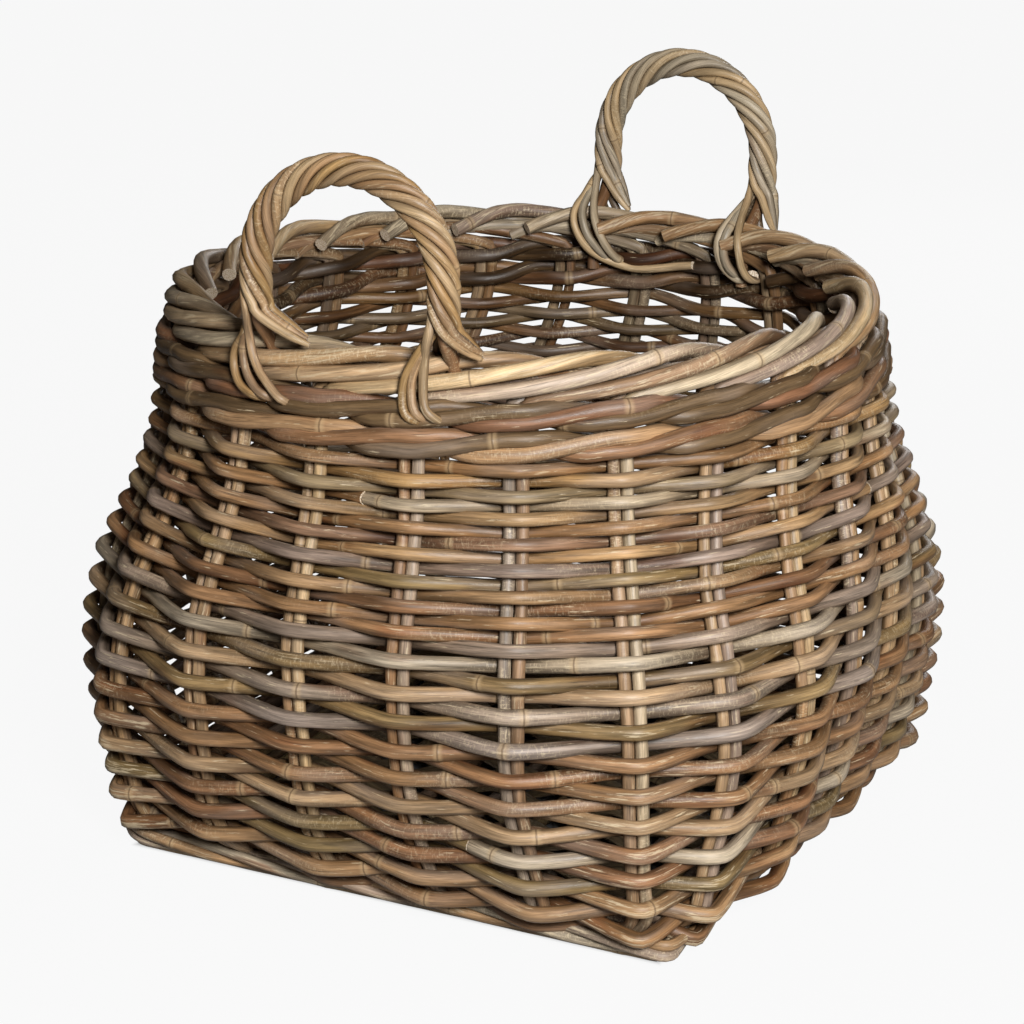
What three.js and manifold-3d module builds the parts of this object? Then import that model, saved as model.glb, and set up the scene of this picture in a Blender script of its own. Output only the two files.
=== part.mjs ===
import * as THREE from 'three';
import Module from 'manifold-3d';

// A two-handled rattan basket: a square foot, a round belly and a rolled rim.
// Millimetres, +Z up, origin on the floor in the middle of the base.
// The handles stand at the middle of the -Y and +Y sides.

// Rods
const STAKE_HALF_WIDTH = 8.2;
const STAKE_HALF_FLAT = 3.6;
const STAKE_HALF_DEPTH = 3.9;
const WEAVER_HALF_HEIGHT = 3.5;
const WEAVER_HALF_DEPTH = 4;
const FOOT_ROD_RADIUS = 4.4;
const BORDER_ROD_RADIUS = 4.6;
const BOW_RADIUS = 5;

// Wall: height, half size over the weave, squareness (2 is round, 16 is nearly square)
// and how far the wall leans over to +X there
const WALL = [
  [4, 199, 16, 0],
  [32, 243, 6.8, 7.5],
  [70, 261, 4.4, 3],
  [115, 277.5, 3.5, 0],
  [160, 287, 2.85, 0],
  [205, 287.5, 2.4, 0],
  [250, 279.5, 2.05, 2],
  [295, 264.5, 2, 2],
  [368, 253.4, 2, 0],
];
const WEAVE_OFFSET = 9.35;
const BEND_EASE = 1.15;
const WALL_INSET = 13.8;

// Stakes: twenty-four pairs of rods, six to a side
const STAKES = 24;
const STAKES_PER_SIDE = STAKES / 4;
const FOOT_HALF = 204;
const FOOT_PITCHES = [75, 63];
const FIRST_STAKE_ANGLE = -127.5;
const STAKE_STEP = 360 / STAKES;
const BELLY_SWING = 3.3;
const BELLY_SWING_ANGLE = -72;
const RIM_SWING = 4;
const RIM_SWING_ANGLE = -40;
const BELLY_FROM = 150;
const RIM_FROM = 230;
const RIM_TO = 350;

// Plain weave: two weavers that chase each other up the wall
const FIRST_ROW = 36;
const LAST_ROW = 33;
const LOWER_PITCH = 9.9;
const UPPER_PITCH = 7.75;
const PITCH_CHANGE_ROW = 18;
const WEAVERS = 2;
const RODS_PER_WEAVER = 6;
const BUTT_GAP = 0.03;

// Wale: rods in front of two stakes and behind one, close under the border
const WALE_HEIGHTS = [339.5, 347, 354.5, 362];
const WALE_REACH = 3;

// Border: every stake pair lies down into a roll of rods along the rim
const BORDER_RADIUS = 235.4;
const BORDER_HEIGHT = 382.8;
const BORDER_LAY = 9.8;
const BORDER_TURN = 60;
const BORDER_STEPS = 3;
const BORDER_START = -60;
const BORDER_END = 180;
const BORDER_NECK = { height: 372.6, advance: 0.11 };

// Foot rods lie outside the stakes, the lowest one on the floor:
// height, half size, corner cut and shift to +X
const FOOT_RODS = [
  [FOOT_ROD_RADIUS * Math.sin(Math.PI / 3), 201.4, 6, 1.2],
  [12.4, 215.8, 12, 2.8],
  [21, 228.8, 18, 5.4],
];

// Base: a frame, sticks across it and one flat cane woven to and fro
const FRAME_HALF = 172;
const FRAME_HALF_WIDTH = 6;
const FRAME_CORNER_CUT = 5;
const BASE_HEIGHT = 12;
const FRAME_HALF_HEIGHT = 5;
const BASE_STICKS = 7;
const BASE_STICK_PITCH = 47;
const BASE_STICK_RADIUS = 5;
const CANE_HALF_WIDTH = 7.5;
const CANE_HALF_THICKNESS = 2;
const CANE_ROWS = 19;
const CANE_PITCH = 17;
const CANE_LIFT = 7.5;
const CANE_END_LIFT = 4;
const CANE_END = 149;
const CANE_TURN = 157;
const FIT_GAP = 0.3;

// Handles: a bow with its legs outside the rim, wrapped with twisted rods.
// Each has its angle and the side of its legs on which the lashings lie, both towards -X.
const HANDLES = [
  ['near', -88.5, -1],
  ['far', 86.9, 1],
];
const BOW_HALF_WIDTH = 66.3;
const BOW_SPRING_HEIGHT = 443.7;
const BOW_PLANE = 249;
const BOW_LEG = [
  [322, 260.8],
  [366, 257.6],
  [389, 255.2],
  [399, BOW_PLANE],
];
const WRAP_START = 399;
const WRAP_LEG_STEPS = 4;
const ARCH_STEPS = 12;
const WRAP_STRANDS = 8;
const WRAP_CREST = 10.8;
const WRAP_VALLEY = 9;
const WRAP_LEAD = -165;
const WRAP_BORE = 5.6;

// Lashings: three rods side by side over the border at each handle foot
const LASHING_SHIFT = 24;
const LASHING_CLEARANCE = 18.2;
const LASHING_OUTER = [[346, 263.2], [367, 259.8]];
const LASHING_INNER = [[367, 219.6], [346, 223.2]];
const LASHING_STEPS = 8;
const LASHING_ARC = [-28, 208];
const LASHING_SECTION = [
  [-10, -3], [10, -3], [10, 1.4], [6.7, 3], [3.3, 1.2], [0, 3], [-3.3, 1.2], [-6.7, 3], [-10, 1.4],
];

const RATTAN = {
  stake: new THREE.MeshStandardMaterial({ color: 0xa88560, roughness: 0.7, metalness: 0 }),
  weaver: new THREE.MeshStandardMaterial({ color: 0x96754f, roughness: 0.7, metalness: 0 }),
  wale: new THREE.MeshStandardMaterial({ color: 0xa27c55, roughness: 0.7, metalness: 0 }),
  foot: new THREE.MeshStandardMaterial({ color: 0x8b7a6b, roughness: 0.75, metalness: 0 }),
  base: new THREE.MeshStandardMaterial({ color: 0x83684a, roughness: 0.75, metalness: 0 }),
  handle: new THREE.MeshStandardMaterial({ color: 0xc2a57c, roughness: 0.6, metalness: 0 }),
};

const Z_AXIS = new THREE.Vector3(0, 0, 1);
const radians = THREE.MathUtils.degToRad;

const basket = new THREE.Group();

function add(name, geometry, finish) {
  const mesh = new THREE.Mesh(geometry, RATTAN[finish].clone());
  mesh.name = name;
  basket.add(mesh);
}

// A ring of points: each section point is laid out along two axes from a centre.
function ring(centre, axisA, axisB, section) {
  return section.map(([a, b]) => centre.clone().addScaledVector(axisA, a).addScaledVector(axisB, b));
}

function regularSection(sides, radius, turn = 0) {
  return Array.from({ length: sides }, (_, i) => {
    const angle = turn + (i * 2 * Math.PI) / sides;
    return [radius * Math.cos(angle), radius * Math.sin(angle)];
  });
}

function signedVolume(points, faces) {
  let sum = 0;
  for (let i = 0; i < faces.length; i += 3) {
    const [a, b, c] = [points[faces[i]], points[faces[i + 1]], points[faces[i + 2]]];
    sum += a.dot(b.clone().cross(c)) / 6;
  }
  return sum;
}

// Skins a row of rings into one closed body. An open row is capped at both ends.
function skin(rings, closed = false) {
  const sides = rings[0].length;
  const points = rings.flat();
  const faces = [];
  const spans = closed ? rings.length : rings.length - 1;
  for (let r = 0; r < spans; r += 1) {
    const here = r * sides;
    const next = ((r + 1) % rings.length) * sides;
    for (let s = 0; s < sides; s += 1) {
      const t = (s + 1) % sides;
      faces.push(here + s, here + t, next + t, here + s, next + t, next + s);
    }
  }
  if (!closed) {
    for (const [first, flip] of [[0, true], [(rings.length - 1) * sides, false]]) {
      const centre = points.length;
      const middle = new THREE.Vector3();
      for (let s = 0; s < sides; s += 1) middle.addScaledVector(points[first + s], 1 / sides);
      points.push(middle);
      for (let s = 0; s < sides; s += 1) {
        const t = (s + 1) % sides;
        faces.push(centre, first + (flip ? t : s), first + (flip ? s : t));
      }
    }
  }
  if (signedVolume(points, faces) < 0) faces.reverse();
  const geometry = new THREE.BufferGeometry().setFromPoints(points);
  geometry.setIndex(faces);
  geometry.computeVertexNormals();
  return geometry;
}

// The angle of a stake at a height. It leans from its place on the square foot
// to an even spacing round the belly and the rim, with a slight hand-set swing.
function footAngle(index) {
  const side = Math.floor(index / STAKES_PER_SIDE);
  const place = (index % STAKES_PER_SIDE) - (STAKES_PER_SIDE - 1) / 2;
  const offset = place * FOOT_PITCHES[side % FOOT_PITCHES.length];
  return -90 + 90 * side + THREE.MathUtils.radToDeg(Math.atan2(offset, FOOT_HALF));
}

function bellyAngle(index) {
  const even = FIRST_STAKE_ANGLE + STAKE_STEP * index;
  return even + BELLY_SWING * Math.cos(2 * radians(even - BELLY_SWING_ANGLE));
}

function rimAngle(index) {
  const even = FIRST_STAKE_ANGLE + STAKE_STEP * index;
  return even + RIM_SWING * Math.cos(radians(even - RIM_SWING_ANGLE));
}

function stakeAngle(index, height) {
  const toBelly = THREE.MathUtils.smoothstep(height, 0, BELLY_FROM);
  const toRim = THREE.MathUtils.smoothstep(height, RIM_FROM, RIM_TO);
  const low = THREE.MathUtils.lerp(footAngle(index), bellyAngle(index), toBelly);
  return radians(THREE.MathUtils.lerp(low, rimAngle(index), toRim));
}

function wallPoint(angle, [height, half, squareness, lean]) {
  const c = Math.cos(angle);
  const s = Math.sin(angle);
  const spread = Math.abs(c) ** squareness + Math.abs(s) ** squareness;
  const radius = (half - WALL_INSET) * spread ** (-1 / squareness);
  return new THREE.Vector3(radius * c + lean, radius * s, height);
}

// The stations of one stake: its centre, the direction along the wall and the way out.
function stakeStations(index) {
  const centres = WALL.map((row) => wallPoint(stakeAngle(index, row[0]), row));
  return WALL.map((row, i) => {
    const angle = stakeAngle(index, row[0]);
    const step = 0.02;
    const along = wallPoint(angle + step, row).sub(wallPoint(angle - step, row)).normalize();
    const below = centres[Math.max(i - 1, 0)];
    const above = centres[Math.min(i + 1, centres.length - 1)];
    const rise = above.clone().sub(below).normalize();
    const out = along.clone().cross(rise).normalize();
    const up = out.clone().cross(along).normalize();
    return { centre: centres[i], along, up, out };
  });
}

const STATIONS = Array.from({ length: STAKES }, (_, index) => stakeStations(index));

// Where a weaver passes a stake: inside or outside it, at a height.
function crossing(index, height, offset) {
  const stations = STATIONS[((index % STAKES) + STAKES) % STAKES];
  let i = stations.findIndex((station) => station.centre.z > height) - 1;
  if (i < 0) i = stations.length - 2;
  const low = stations[i];
  const high = stations[i + 1];
  const share = (height - low.centre.z) / (high.centre.z - low.centre.z);
  const out = low.out.clone().lerp(high.out, share).normalize();
  const up = low.up.clone().lerp(high.up, share).normalize();
  const centre = low.centre.clone().lerp(high.centre, share).addScaledVector(out, offset);
  return { centre, up, out };
}

// How far a rod outside a stake stands off further, because it bends round the stake there.
function bendEase(index, height) {
  const [before, here, after] = [-1, 0, 1].map((step) => crossing(index + step, height, 0).centre);
  const bend = here.clone().sub(before).angleTo(after.sub(here));
  return BEND_EASE * STAKE_HALF_WIDTH * Math.tan(bend / 2);
}

function pass(index, height, outside) {
  const offset = outside ? WEAVE_OFFSET + bendEase(index, height) : -WEAVE_OFFSET;
  return crossing(index, height, offset);
}

// A place between two crossings, on the straight run from one to the next.
function between(a, b, share) {
  return {
    centre: a.centre.clone().lerp(b.centre, share),
    up: a.up.clone().lerp(b.up, share).normalize(),
    out: a.out.clone().lerp(b.out, share).normalize(),
  };
}

const WEAVER_SECTION = [
  [0, WEAVER_HALF_DEPTH],
  [WEAVER_HALF_HEIGHT, 0],
  [0, -WEAVER_HALF_DEPTH],
  [-WEAVER_HALF_HEIGHT, 0],
];

// A rod woven from halfway after one stake to halfway before another.
function wovenRod(firstStake, lastStake, place) {
  const frames = [];
  for (let m = firstStake; m <= lastStake; m += 1) frames.push(place(m));
  const start = between(place(firstStake - 1), frames[0], 0.5 + BUTT_GAP);
  const end = between(frames[frames.length - 1], place(lastStake + 1), 0.5 - BUTT_GAP);
  const all = [start, ...frames, end];
  return skin(all.map(({ centre, up, out }) => ring(centre, up, out, WEAVER_SECTION)));
}

function rowHeight(row) {
  const above = Math.max(0, row - PITCH_CHANGE_ROW);
  return FIRST_ROW + LOWER_PITCH * row - (LOWER_PITCH - UPPER_PITCH) * above;
}

// Stake pairs, each running up the wall and over into the border

const PAIR_SECTION = [
  [STAKE_HALF_WIDTH, 0],
  [STAKE_HALF_FLAT, STAKE_HALF_DEPTH],
  [-STAKE_HALF_FLAT, STAKE_HALF_DEPTH],
  [-STAKE_HALF_WIDTH, 0],
  [-STAKE_HALF_FLAT, -STAKE_HALF_DEPTH],
  [STAKE_HALF_FLAT, -STAKE_HALF_DEPTH],
];

// The frame of the border at a place counted in stakes, and the lay of a rod in it.
function borderFrame(place) {
  const angle = radians(rimAngle(place));
  const radial = new THREE.Vector3(Math.cos(angle), Math.sin(angle), 0);
  const along = new THREE.Vector3(-Math.sin(angle), Math.cos(angle), 0);
  return { radial, along };
}

function borderPoint(place, turn) {
  const { radial } = borderFrame(place);
  const out = BORDER_RADIUS + BORDER_LAY * Math.cos(radians(turn));
  return radial.clone().multiplyScalar(out).setZ(BORDER_HEIGHT + BORDER_LAY * Math.sin(radians(turn)));
}

function borderRings(index) {
  const section = regularSection(6, BORDER_ROD_RADIUS);
  const neckPlace = index + BORDER_NECK.advance;
  const neck = borderFrame(neckPlace);
  const slant = neck.along.clone().sub(Z_AXIS).normalize();
  const neckCentre = neck.radial.clone().multiplyScalar(BORDER_RADIUS).setZ(BORDER_NECK.height);
  const rings = [ring(neckCentre, slant, neck.radial, section)];
  const down = Z_AXIS.clone().negate();
  const steps = (BORDER_END - BORDER_START) / (BORDER_TURN / BORDER_STEPS);
  for (let i = 0; i <= steps; i += 1) {
    const place = index + (i + 1) / BORDER_STEPS;
    const turn = BORDER_START + (i * BORDER_TURN) / BORDER_STEPS;
    rings.push(ring(borderPoint(place, turn), down, borderFrame(place).radial, section));
  }
  return rings;
}

for (let index = 0; index < STAKES; index += 1) {
  const upright = STATIONS[index].map(({ centre, along, out }) => ring(centre, along, out, PAIR_SECTION));
  const name = `stake_pair_${String(index + 1).padStart(2, '0')}`;
  add(name, skin([...upright, ...borderRings(index)]), 'stake');
}

// Weavers of the plain weave: over one stake pair and behind the next

const TURN_STAKES = STAKES / WEAVERS;
for (let weaver = 0; weaver < WEAVERS; weaver += 1) {
  const place = (m) => pass(m, rowHeight(weaver + m / TURN_STAKES), (m + weaver) % 2 === 0);
  const crossings = (LAST_ROW - weaver) * TURN_STAKES;
  for (let rod = 0; rod < RODS_PER_WEAVER; rod += 1) {
    const first = Math.round((rod * crossings) / RODS_PER_WEAVER) + 1;
    const last = Math.round(((rod + 1) * crossings) / RODS_PER_WEAVER);
    add(`weaver_${'ab'[weaver]}_rod_${rod + 1}`, wovenRod(first, last, place), 'weaver');
  }
}

WALE_HEIGHTS.forEach((height, i) => {
  const place = (m) => pass(m, height, (m + i) % WALE_REACH !== 0);
  const first = i * STAKES_PER_SIDE;
  add(`wale_rod_${i + 1}`, wovenRod(first + 1, first + STAKES, place), 'wale');
});

// Foot and base

// A square ring with cut corners, swept through one section.
function squareRing(half, cut, height, section) {
  const rings = [];
  for (let corner = 0; corner < 4; corner += 1) {
    const turn = (corner * Math.PI) / 2;
    for (const [x, y, lean] of [[half, half - cut, 0], [half - cut, half, Math.PI / 2]]) {
      const centre = new THREE.Vector3(x, y, height).applyAxisAngle(Z_AXIS, turn);
      const mitre = lean === 0 ? Math.PI / 8 : (3 * Math.PI) / 8;
      const stretch = 1 / Math.cos(Math.PI / 8);
      const out = new THREE.Vector3(Math.cos(mitre), Math.sin(mitre), 0).applyAxisAngle(Z_AXIS, turn);
      rings.push(ring(centre, out.multiplyScalar(stretch), Z_AXIS, section));
    }
  }
  return skin(rings, true);
}

FOOT_RODS.forEach(([height, half, cornerCut, shift], i) => {
  const section = regularSection(6, FOOT_ROD_RADIUS);
  const rod = squareRing(half, cornerCut, height, section).translate(shift, 0, 0);
  add(`foot_rod_${i + 1}`, rod, 'foot');
});

const FRAME_SECTION = [
  [FRAME_HALF_WIDTH, -FRAME_HALF_HEIGHT],
  [FRAME_HALF_WIDTH, FRAME_HALF_HEIGHT],
  [-FRAME_HALF_WIDTH, FRAME_HALF_HEIGHT],
  [-FRAME_HALF_WIDTH, -FRAME_HALF_HEIGHT],
];
add('base_frame', squareRing(FRAME_HALF, FRAME_CORNER_CUT, BASE_HEIGHT, FRAME_SECTION), 'base');

const STICK_HALF_LENGTH = FRAME_HALF - FRAME_HALF_WIDTH - FIT_GAP;
const FIRST_STICK = -(BASE_STICK_PITCH * (BASE_STICKS - 1)) / 2;
const X_AXIS = new THREE.Vector3(1, 0, 0);
const Y_AXIS = new THREE.Vector3(0, 1, 0);
for (let i = 0; i < BASE_STICKS; i += 1) {
  const section = regularSection(6, BASE_STICK_RADIUS);
  const ends = [-STICK_HALF_LENGTH, STICK_HALF_LENGTH].map((y) => {
    const centre = new THREE.Vector3(FIRST_STICK + i * BASE_STICK_PITCH, y, BASE_HEIGHT);
    return ring(centre, X_AXIS, Z_AXIS, section);
  });
  add(`base_stick_${i + 1}`, skin(ends), 'base');
}

// The cane goes over and under the sticks, turns at the frame and comes back.
function baseCane() {
  const section = [
    [-CANE_HALF_WIDTH, -CANE_HALF_THICKNESS],
    [CANE_HALF_WIDTH, -CANE_HALF_THICKNESS],
    [CANE_HALF_WIDTH, CANE_HALF_THICKNESS],
    [-CANE_HALF_WIDTH, CANE_HALF_THICKNESS],
  ];
  const rings = [];
  for (let row = 0; row < CANE_ROWS; row += 1) {
    const y = (row - (CANE_ROWS - 1) / 2) * CANE_PITCH;
    const heading = row % 2 === 0 ? 1 : -1;
    const across = Y_AXIS.clone().multiplyScalar(heading);
    const lay = (x, lift) => {
      const centre = new THREE.Vector3(x * heading, y, BASE_HEIGHT + lift);
      rings.push(ring(centre, across, Z_AXIS, section));
    };
    const lift = (stick) => ((stick + row * BASE_STICKS) % 2 === 0 ? 1 : -1);
    lay(-CANE_END, CANE_END_LIFT * lift(0));
    for (let stick = 0; stick < BASE_STICKS; stick += 1) {
      lay(FIRST_STICK + stick * BASE_STICK_PITCH, CANE_LIFT * lift(stick));
    }
    lay(CANE_END, CANE_END_LIFT * lift(BASE_STICKS - 1));
    if (row < CANE_ROWS - 1) {
      const turn = new THREE.Vector3(CANE_TURN * heading, y + CANE_PITCH / 2, BASE_HEIGHT);
      rings.push(ring(turn, X_AXIS.clone().multiplyScalar(-heading), Z_AXIS, section));
    }
  }
  return skin(rings);
}

add('base_cane', baseCane(), 'base');

// Handles

const wasm = await Module();
wasm.setup();

function toManifold(geometry) {
  const vertProperties = new Float32Array(geometry.getAttribute('position').array);
  const triVerts = new Uint32Array(geometry.getIndex().array);
  return new wasm.Manifold(new wasm.Mesh({ numProp: 3, vertProperties, triVerts }));
}

function cutAway(body, tool) {
  const mesh = toManifold(body).subtract(toManifold(tool)).getMesh();
  const geometry = new THREE.BufferGeometry();
  geometry.setAttribute('position', new THREE.BufferAttribute(new Float32Array(mesh.vertProperties), 3));
  geometry.setIndex(Array.from(mesh.triVerts));
  geometry.computeVertexNormals();
  return geometry;
}

// The bow as places along its length: distance sideways, height, distance out,
// and the direction across the bow in its own plane.
function archPlaces() {
  const places = [];
  for (let i = 0; i <= ARCH_STEPS; i += 1) {
    const angle = Math.PI * (1 - i / ARCH_STEPS);
    const c = Math.cos(angle);
    const s = Math.sin(angle);
    places.push({
      side: BOW_HALF_WIDTH * c, height: BOW_SPRING_HEIGHT + BOW_HALF_WIDTH * s,
      out: BOW_PLANE, across: [c, s],
    });
  }
  return places;
}

function wrapPlaces() {
  const left = [];
  for (let i = 0; i < WRAP_LEG_STEPS; i += 1) {
    const height = THREE.MathUtils.lerp(WRAP_START, BOW_SPRING_HEIGHT, i / WRAP_LEG_STEPS);
    left.push({ side: -BOW_HALF_WIDTH, height, out: BOW_PLANE, across: [-1, 0] });
  }
  const right = left.map((place) => ({ ...place, side: BOW_HALF_WIDTH, across: [1, 0] })).reverse();
  return [...left, ...archPlaces(), ...right];
}

function bowPlaces() {
  const left = BOW_LEG.map(([height, out]) => ({ side: -BOW_HALF_WIDTH, height, out, across: [-1, 0] }));
  const right = left.map((place) => ({ ...place, side: BOW_HALF_WIDTH, across: [1, 0] })).reverse();
  return [...left, ...archPlaces(), ...right];
}

// Rings across a handle standing at an angle round the rim.
function handleRings(angle, places, sectionAt) {
  const radial = new THREE.Vector3(Math.cos(angle), Math.sin(angle), 0);
  const along = new THREE.Vector3(-Math.sin(angle), Math.cos(angle), 0);
  return places.map((place, i) => {
    const centre = radial.clone().multiplyScalar(place.out).addScaledVector(along, place.side);
    centre.z = place.height;
    const across = along.clone().multiplyScalar(place.across[0]).setZ(place.across[1]);
    return ring(centre, across, radial, sectionAt(i));
  });
}

// Two points to a strand, a crest and a valley, turned along the wrap.
function wrapSection(length) {
  const turn = (2 * Math.PI * length) / WRAP_LEAD;
  const points = 2 * WRAP_STRANDS;
  return Array.from({ length: points }, (_, i) => {
    const angle = turn + (i * 2 * Math.PI) / points;
    const radius = i % 2 === 0 ? WRAP_CREST : WRAP_VALLEY;
    return [radius * Math.cos(angle), radius * Math.sin(angle)];
  });
}

function handleWrap(angle) {
  const places = wrapPlaces();
  const lengths = [0];
  for (let i = 1; i < places.length; i += 1) {
    const run = Math.hypot(places[i].side - places[i - 1].side, places[i].height - places[i - 1].height);
    lengths.push(lengths[i - 1] + run);
  }
  const body = skin(handleRings(angle, places, (i) => wrapSection(lengths[i])));
  const boreSection = regularSection(6, WRAP_BORE);
  const first = { ...places[0], height: places[0].height - 10 };
  const last = { ...places[places.length - 1], height: first.height };
  const bore = skin(handleRings(angle, [first, ...places.slice(1, -1), last], () => boreSection));
  return cutAway(body, bore);
}

// A band of three rods over the border, from outside the wale to inside it.
function lashing(angle) {
  const radial = new THREE.Vector3(Math.cos(angle), Math.sin(angle), 0);
  const along = new THREE.Vector3(-Math.sin(angle), Math.cos(angle), 0);
  const rings = [];
  const lay = (out, height, away) => {
    const centre = radial.clone().multiplyScalar(out).setZ(height);
    const outward = radial.clone().multiplyScalar(Math.cos(away)).setZ(Math.sin(away));
    rings.push(ring(centre, along, outward, LASHING_SECTION));
  };
  for (const [height, out] of LASHING_OUTER) lay(out, height, 0);
  for (let i = 0; i <= LASHING_STEPS; i += 1) {
    const away = radians(THREE.MathUtils.lerp(LASHING_ARC[0], LASHING_ARC[1], i / LASHING_STEPS));
    const out = BORDER_RADIUS + LASHING_CLEARANCE * Math.cos(away);
    lay(out, BORDER_HEIGHT + LASHING_CLEARANCE * Math.sin(away), away);
  }
  for (const [height, out] of LASHING_INNER) lay(out, height, Math.PI);
  return skin(rings);
}

for (const [name, degrees, lashingSide] of HANDLES) {
  const angle = radians(degrees);
  const bowSection = regularSection(6, BOW_RADIUS);
  add(`handle_${name}_bow`, skin(handleRings(angle, bowPlaces(), () => bowSection)), 'handle');
  add(`handle_${name}_wrap`, handleWrap(angle), 'handle');
  for (const [foot, side] of [['left', -1], ['right', 1]]) {
    const shift = (side * BOW_HALF_WIDTH + lashingSide * LASHING_SHIFT) / BOW_PLANE;
    add(`handle_${name}_lashing_${foot}`, lashing(angle + shift), 'handle');
  }
}

export default basket;
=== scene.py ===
"""A two-handled rattan basket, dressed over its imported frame.

The square foot, the belly, the rolled border and both handles are woven from single rods.
Sizes are in millimetres, +Z up, with the origin on the floor in the middle of the base and the
near handle towards -Y. Meshes are written in metres. Stakes are counted from 0, and a number
between two of them is a place between the stakes.
"""

import logging
import math
import random
from collections.abc import Sequence
from dataclasses import dataclass
from enum import Enum

import bpy
import numpy as np
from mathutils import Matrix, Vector

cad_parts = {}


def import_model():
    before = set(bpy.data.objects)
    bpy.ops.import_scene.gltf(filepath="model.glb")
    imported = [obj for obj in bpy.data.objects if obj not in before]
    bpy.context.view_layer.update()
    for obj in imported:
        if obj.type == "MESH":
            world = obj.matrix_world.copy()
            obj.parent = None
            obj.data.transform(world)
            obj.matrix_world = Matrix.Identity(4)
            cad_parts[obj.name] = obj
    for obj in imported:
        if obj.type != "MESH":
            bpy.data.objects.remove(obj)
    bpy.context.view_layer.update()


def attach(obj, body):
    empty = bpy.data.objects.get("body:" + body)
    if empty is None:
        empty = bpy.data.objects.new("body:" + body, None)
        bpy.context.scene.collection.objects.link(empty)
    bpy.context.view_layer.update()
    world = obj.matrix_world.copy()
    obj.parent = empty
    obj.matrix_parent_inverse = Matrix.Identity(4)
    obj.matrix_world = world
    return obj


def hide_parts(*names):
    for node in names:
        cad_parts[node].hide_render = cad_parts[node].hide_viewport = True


LOG = logging.getLogger("basket")
MM = 0.001
UP = np.array([0.0, 0.0, 1.0])
SEEDS = 10**6
WHITE = (1.0, 1.0, 1.0, 1.0)
Socket = bpy.types.NodeSocket
Pair = tuple[float, float]
Triple = tuple[float, float, float]


def unit(vector: np.ndarray) -> np.ndarray:
    """Returns a vector, or each row of vectors, at length one."""
    return vector / np.linalg.norm(vector, axis=-1, keepdims=True)


def smoothstep(value: float, low: float, high: float) -> float:
    """Returns a soft step from 0 at low to 1 at high."""
    share = min(max((value - low) / (high - low), 0.0), 1.0)
    return share * share * (3 - 2 * share)


def ring_direction(angle: float) -> np.ndarray:
    """Returns the level direction from the middle of the basket at an angle in radians."""
    return np.array([math.cos(angle), math.sin(angle), 0.0])


def cut_corners(rows: np.ndarray, rounds: int) -> np.ndarray:
    """Rounds a broken line by cutting its corners again and again.

    Args:
        rows: One row of numbers for each point, the place first.
        rounds: How many times each corner is cut.

    Returns:
        The rounded rows, with the same first and last.
    """
    for _ in range(rounds):
        before, after = rows[:-1], rows[1:]
        cut = np.empty((2 * len(before), rows.shape[1]))
        cut[0::2] = 0.75 * before + 0.25 * after
        cut[1::2] = 0.25 * before + 0.75 * after
        rows = np.vstack([rows[:1], cut[1:-1], rows[-1:]])
    return rows


def run_along(places: np.ndarray) -> np.ndarray:
    """Returns the run from the first place to each."""
    return np.concatenate([[0.0], np.cumsum(np.linalg.norm(np.diff(places, axis=0), axis=1))])


def even_steps(rows: np.ndarray, step: float) -> tuple[np.ndarray, np.ndarray]:
    """Lays points at an even step along a line.

    Args:
        rows: One row of numbers for each point, the place first.
        step: The distance between points.

    Returns:
        The new rows, and the distance of each from the start.
    """
    run = run_along(rows[:, :3])
    at = np.linspace(0.0, run[-1], max(int(run[-1] / step), 3) + 1)
    return np.stack([np.interp(at, run, column) for column in rows.T], axis=1), at


def rounded_square(halves: Sequence[float], corner_radii: Sequence[float], side_steps: int = 24,
                   corner_steps: int = 6) -> tuple[np.ndarray, np.ndarray]:
    """Lays a square with round corners, from its +X side round past +Y.

    Args:
        halves: Half its width along X and along Y.
        corner_radii: The radius of each corner, from the one between +X and +Y.
        side_steps: The steps along each side.
        corner_steps: The steps round each corner.

    Returns:
        The places round it and the way out at each.
    """
    places, ways = [], []
    for corner, radius in enumerate(corner_radii):
        turn = math.radians(90 * corner)
        out, along = ring_direction(turn), ring_direction(turn + math.pi / 2)
        reach, width = halves[corner % 2], halves[1 - corner % 2]
        for place in np.linspace(corner_radii[corner - 1] - width, width - radius, side_steps + 1)[:-1]:
            places.append(out * reach + along * place)
            ways.append(out)
        middle = out * (reach - radius) + along * (width - radius)
        for angle in np.linspace(turn, turn + math.pi / 2, corner_steps + 1)[:-1]:
            places.append(middle + ring_direction(angle) * radius)
            ways.append(ring_direction(angle))
    return np.array(places), np.array(ways)


def rows_of(points: Sequence[np.ndarray], outward: Sequence[np.ndarray] | np.ndarray,
            wear: Sequence[float] | float = 0.0, shade: Sequence[float] | float = 1.0) -> np.ndarray:
    """Joins places, ways out, wear and painted shade into the rows of a path.

    Args:
        points: The places.
        outward: The way out at each, or one for all.
        wear: The wear at each, or one for all.
        shade: How light the rod is painted at each, as painted shade, or one for all.

    Returns:
        The rows.
    """
    places = np.array(points, float)
    ways = np.broadcast_to(np.array(outward, float), places.shape)
    worn, light = (np.broadcast_to(np.array(value, float), len(places)) for value in (wear, shade))
    # The last column is painted shade: it darkens the rod's colour there.
    return np.column_stack([places, ways, worn, light])


def add_object(name: str, data: bpy.types.ID) -> bpy.types.Object:
    """Adds an object to the scene.

    Args:
        name: Its name.
        data: Its mesh, light or camera.

    Returns:
        The new object.
    """
    made = bpy.data.objects.new(name, data)
    bpy.context.scene.collection.objects.link(made)
    return made


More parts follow.
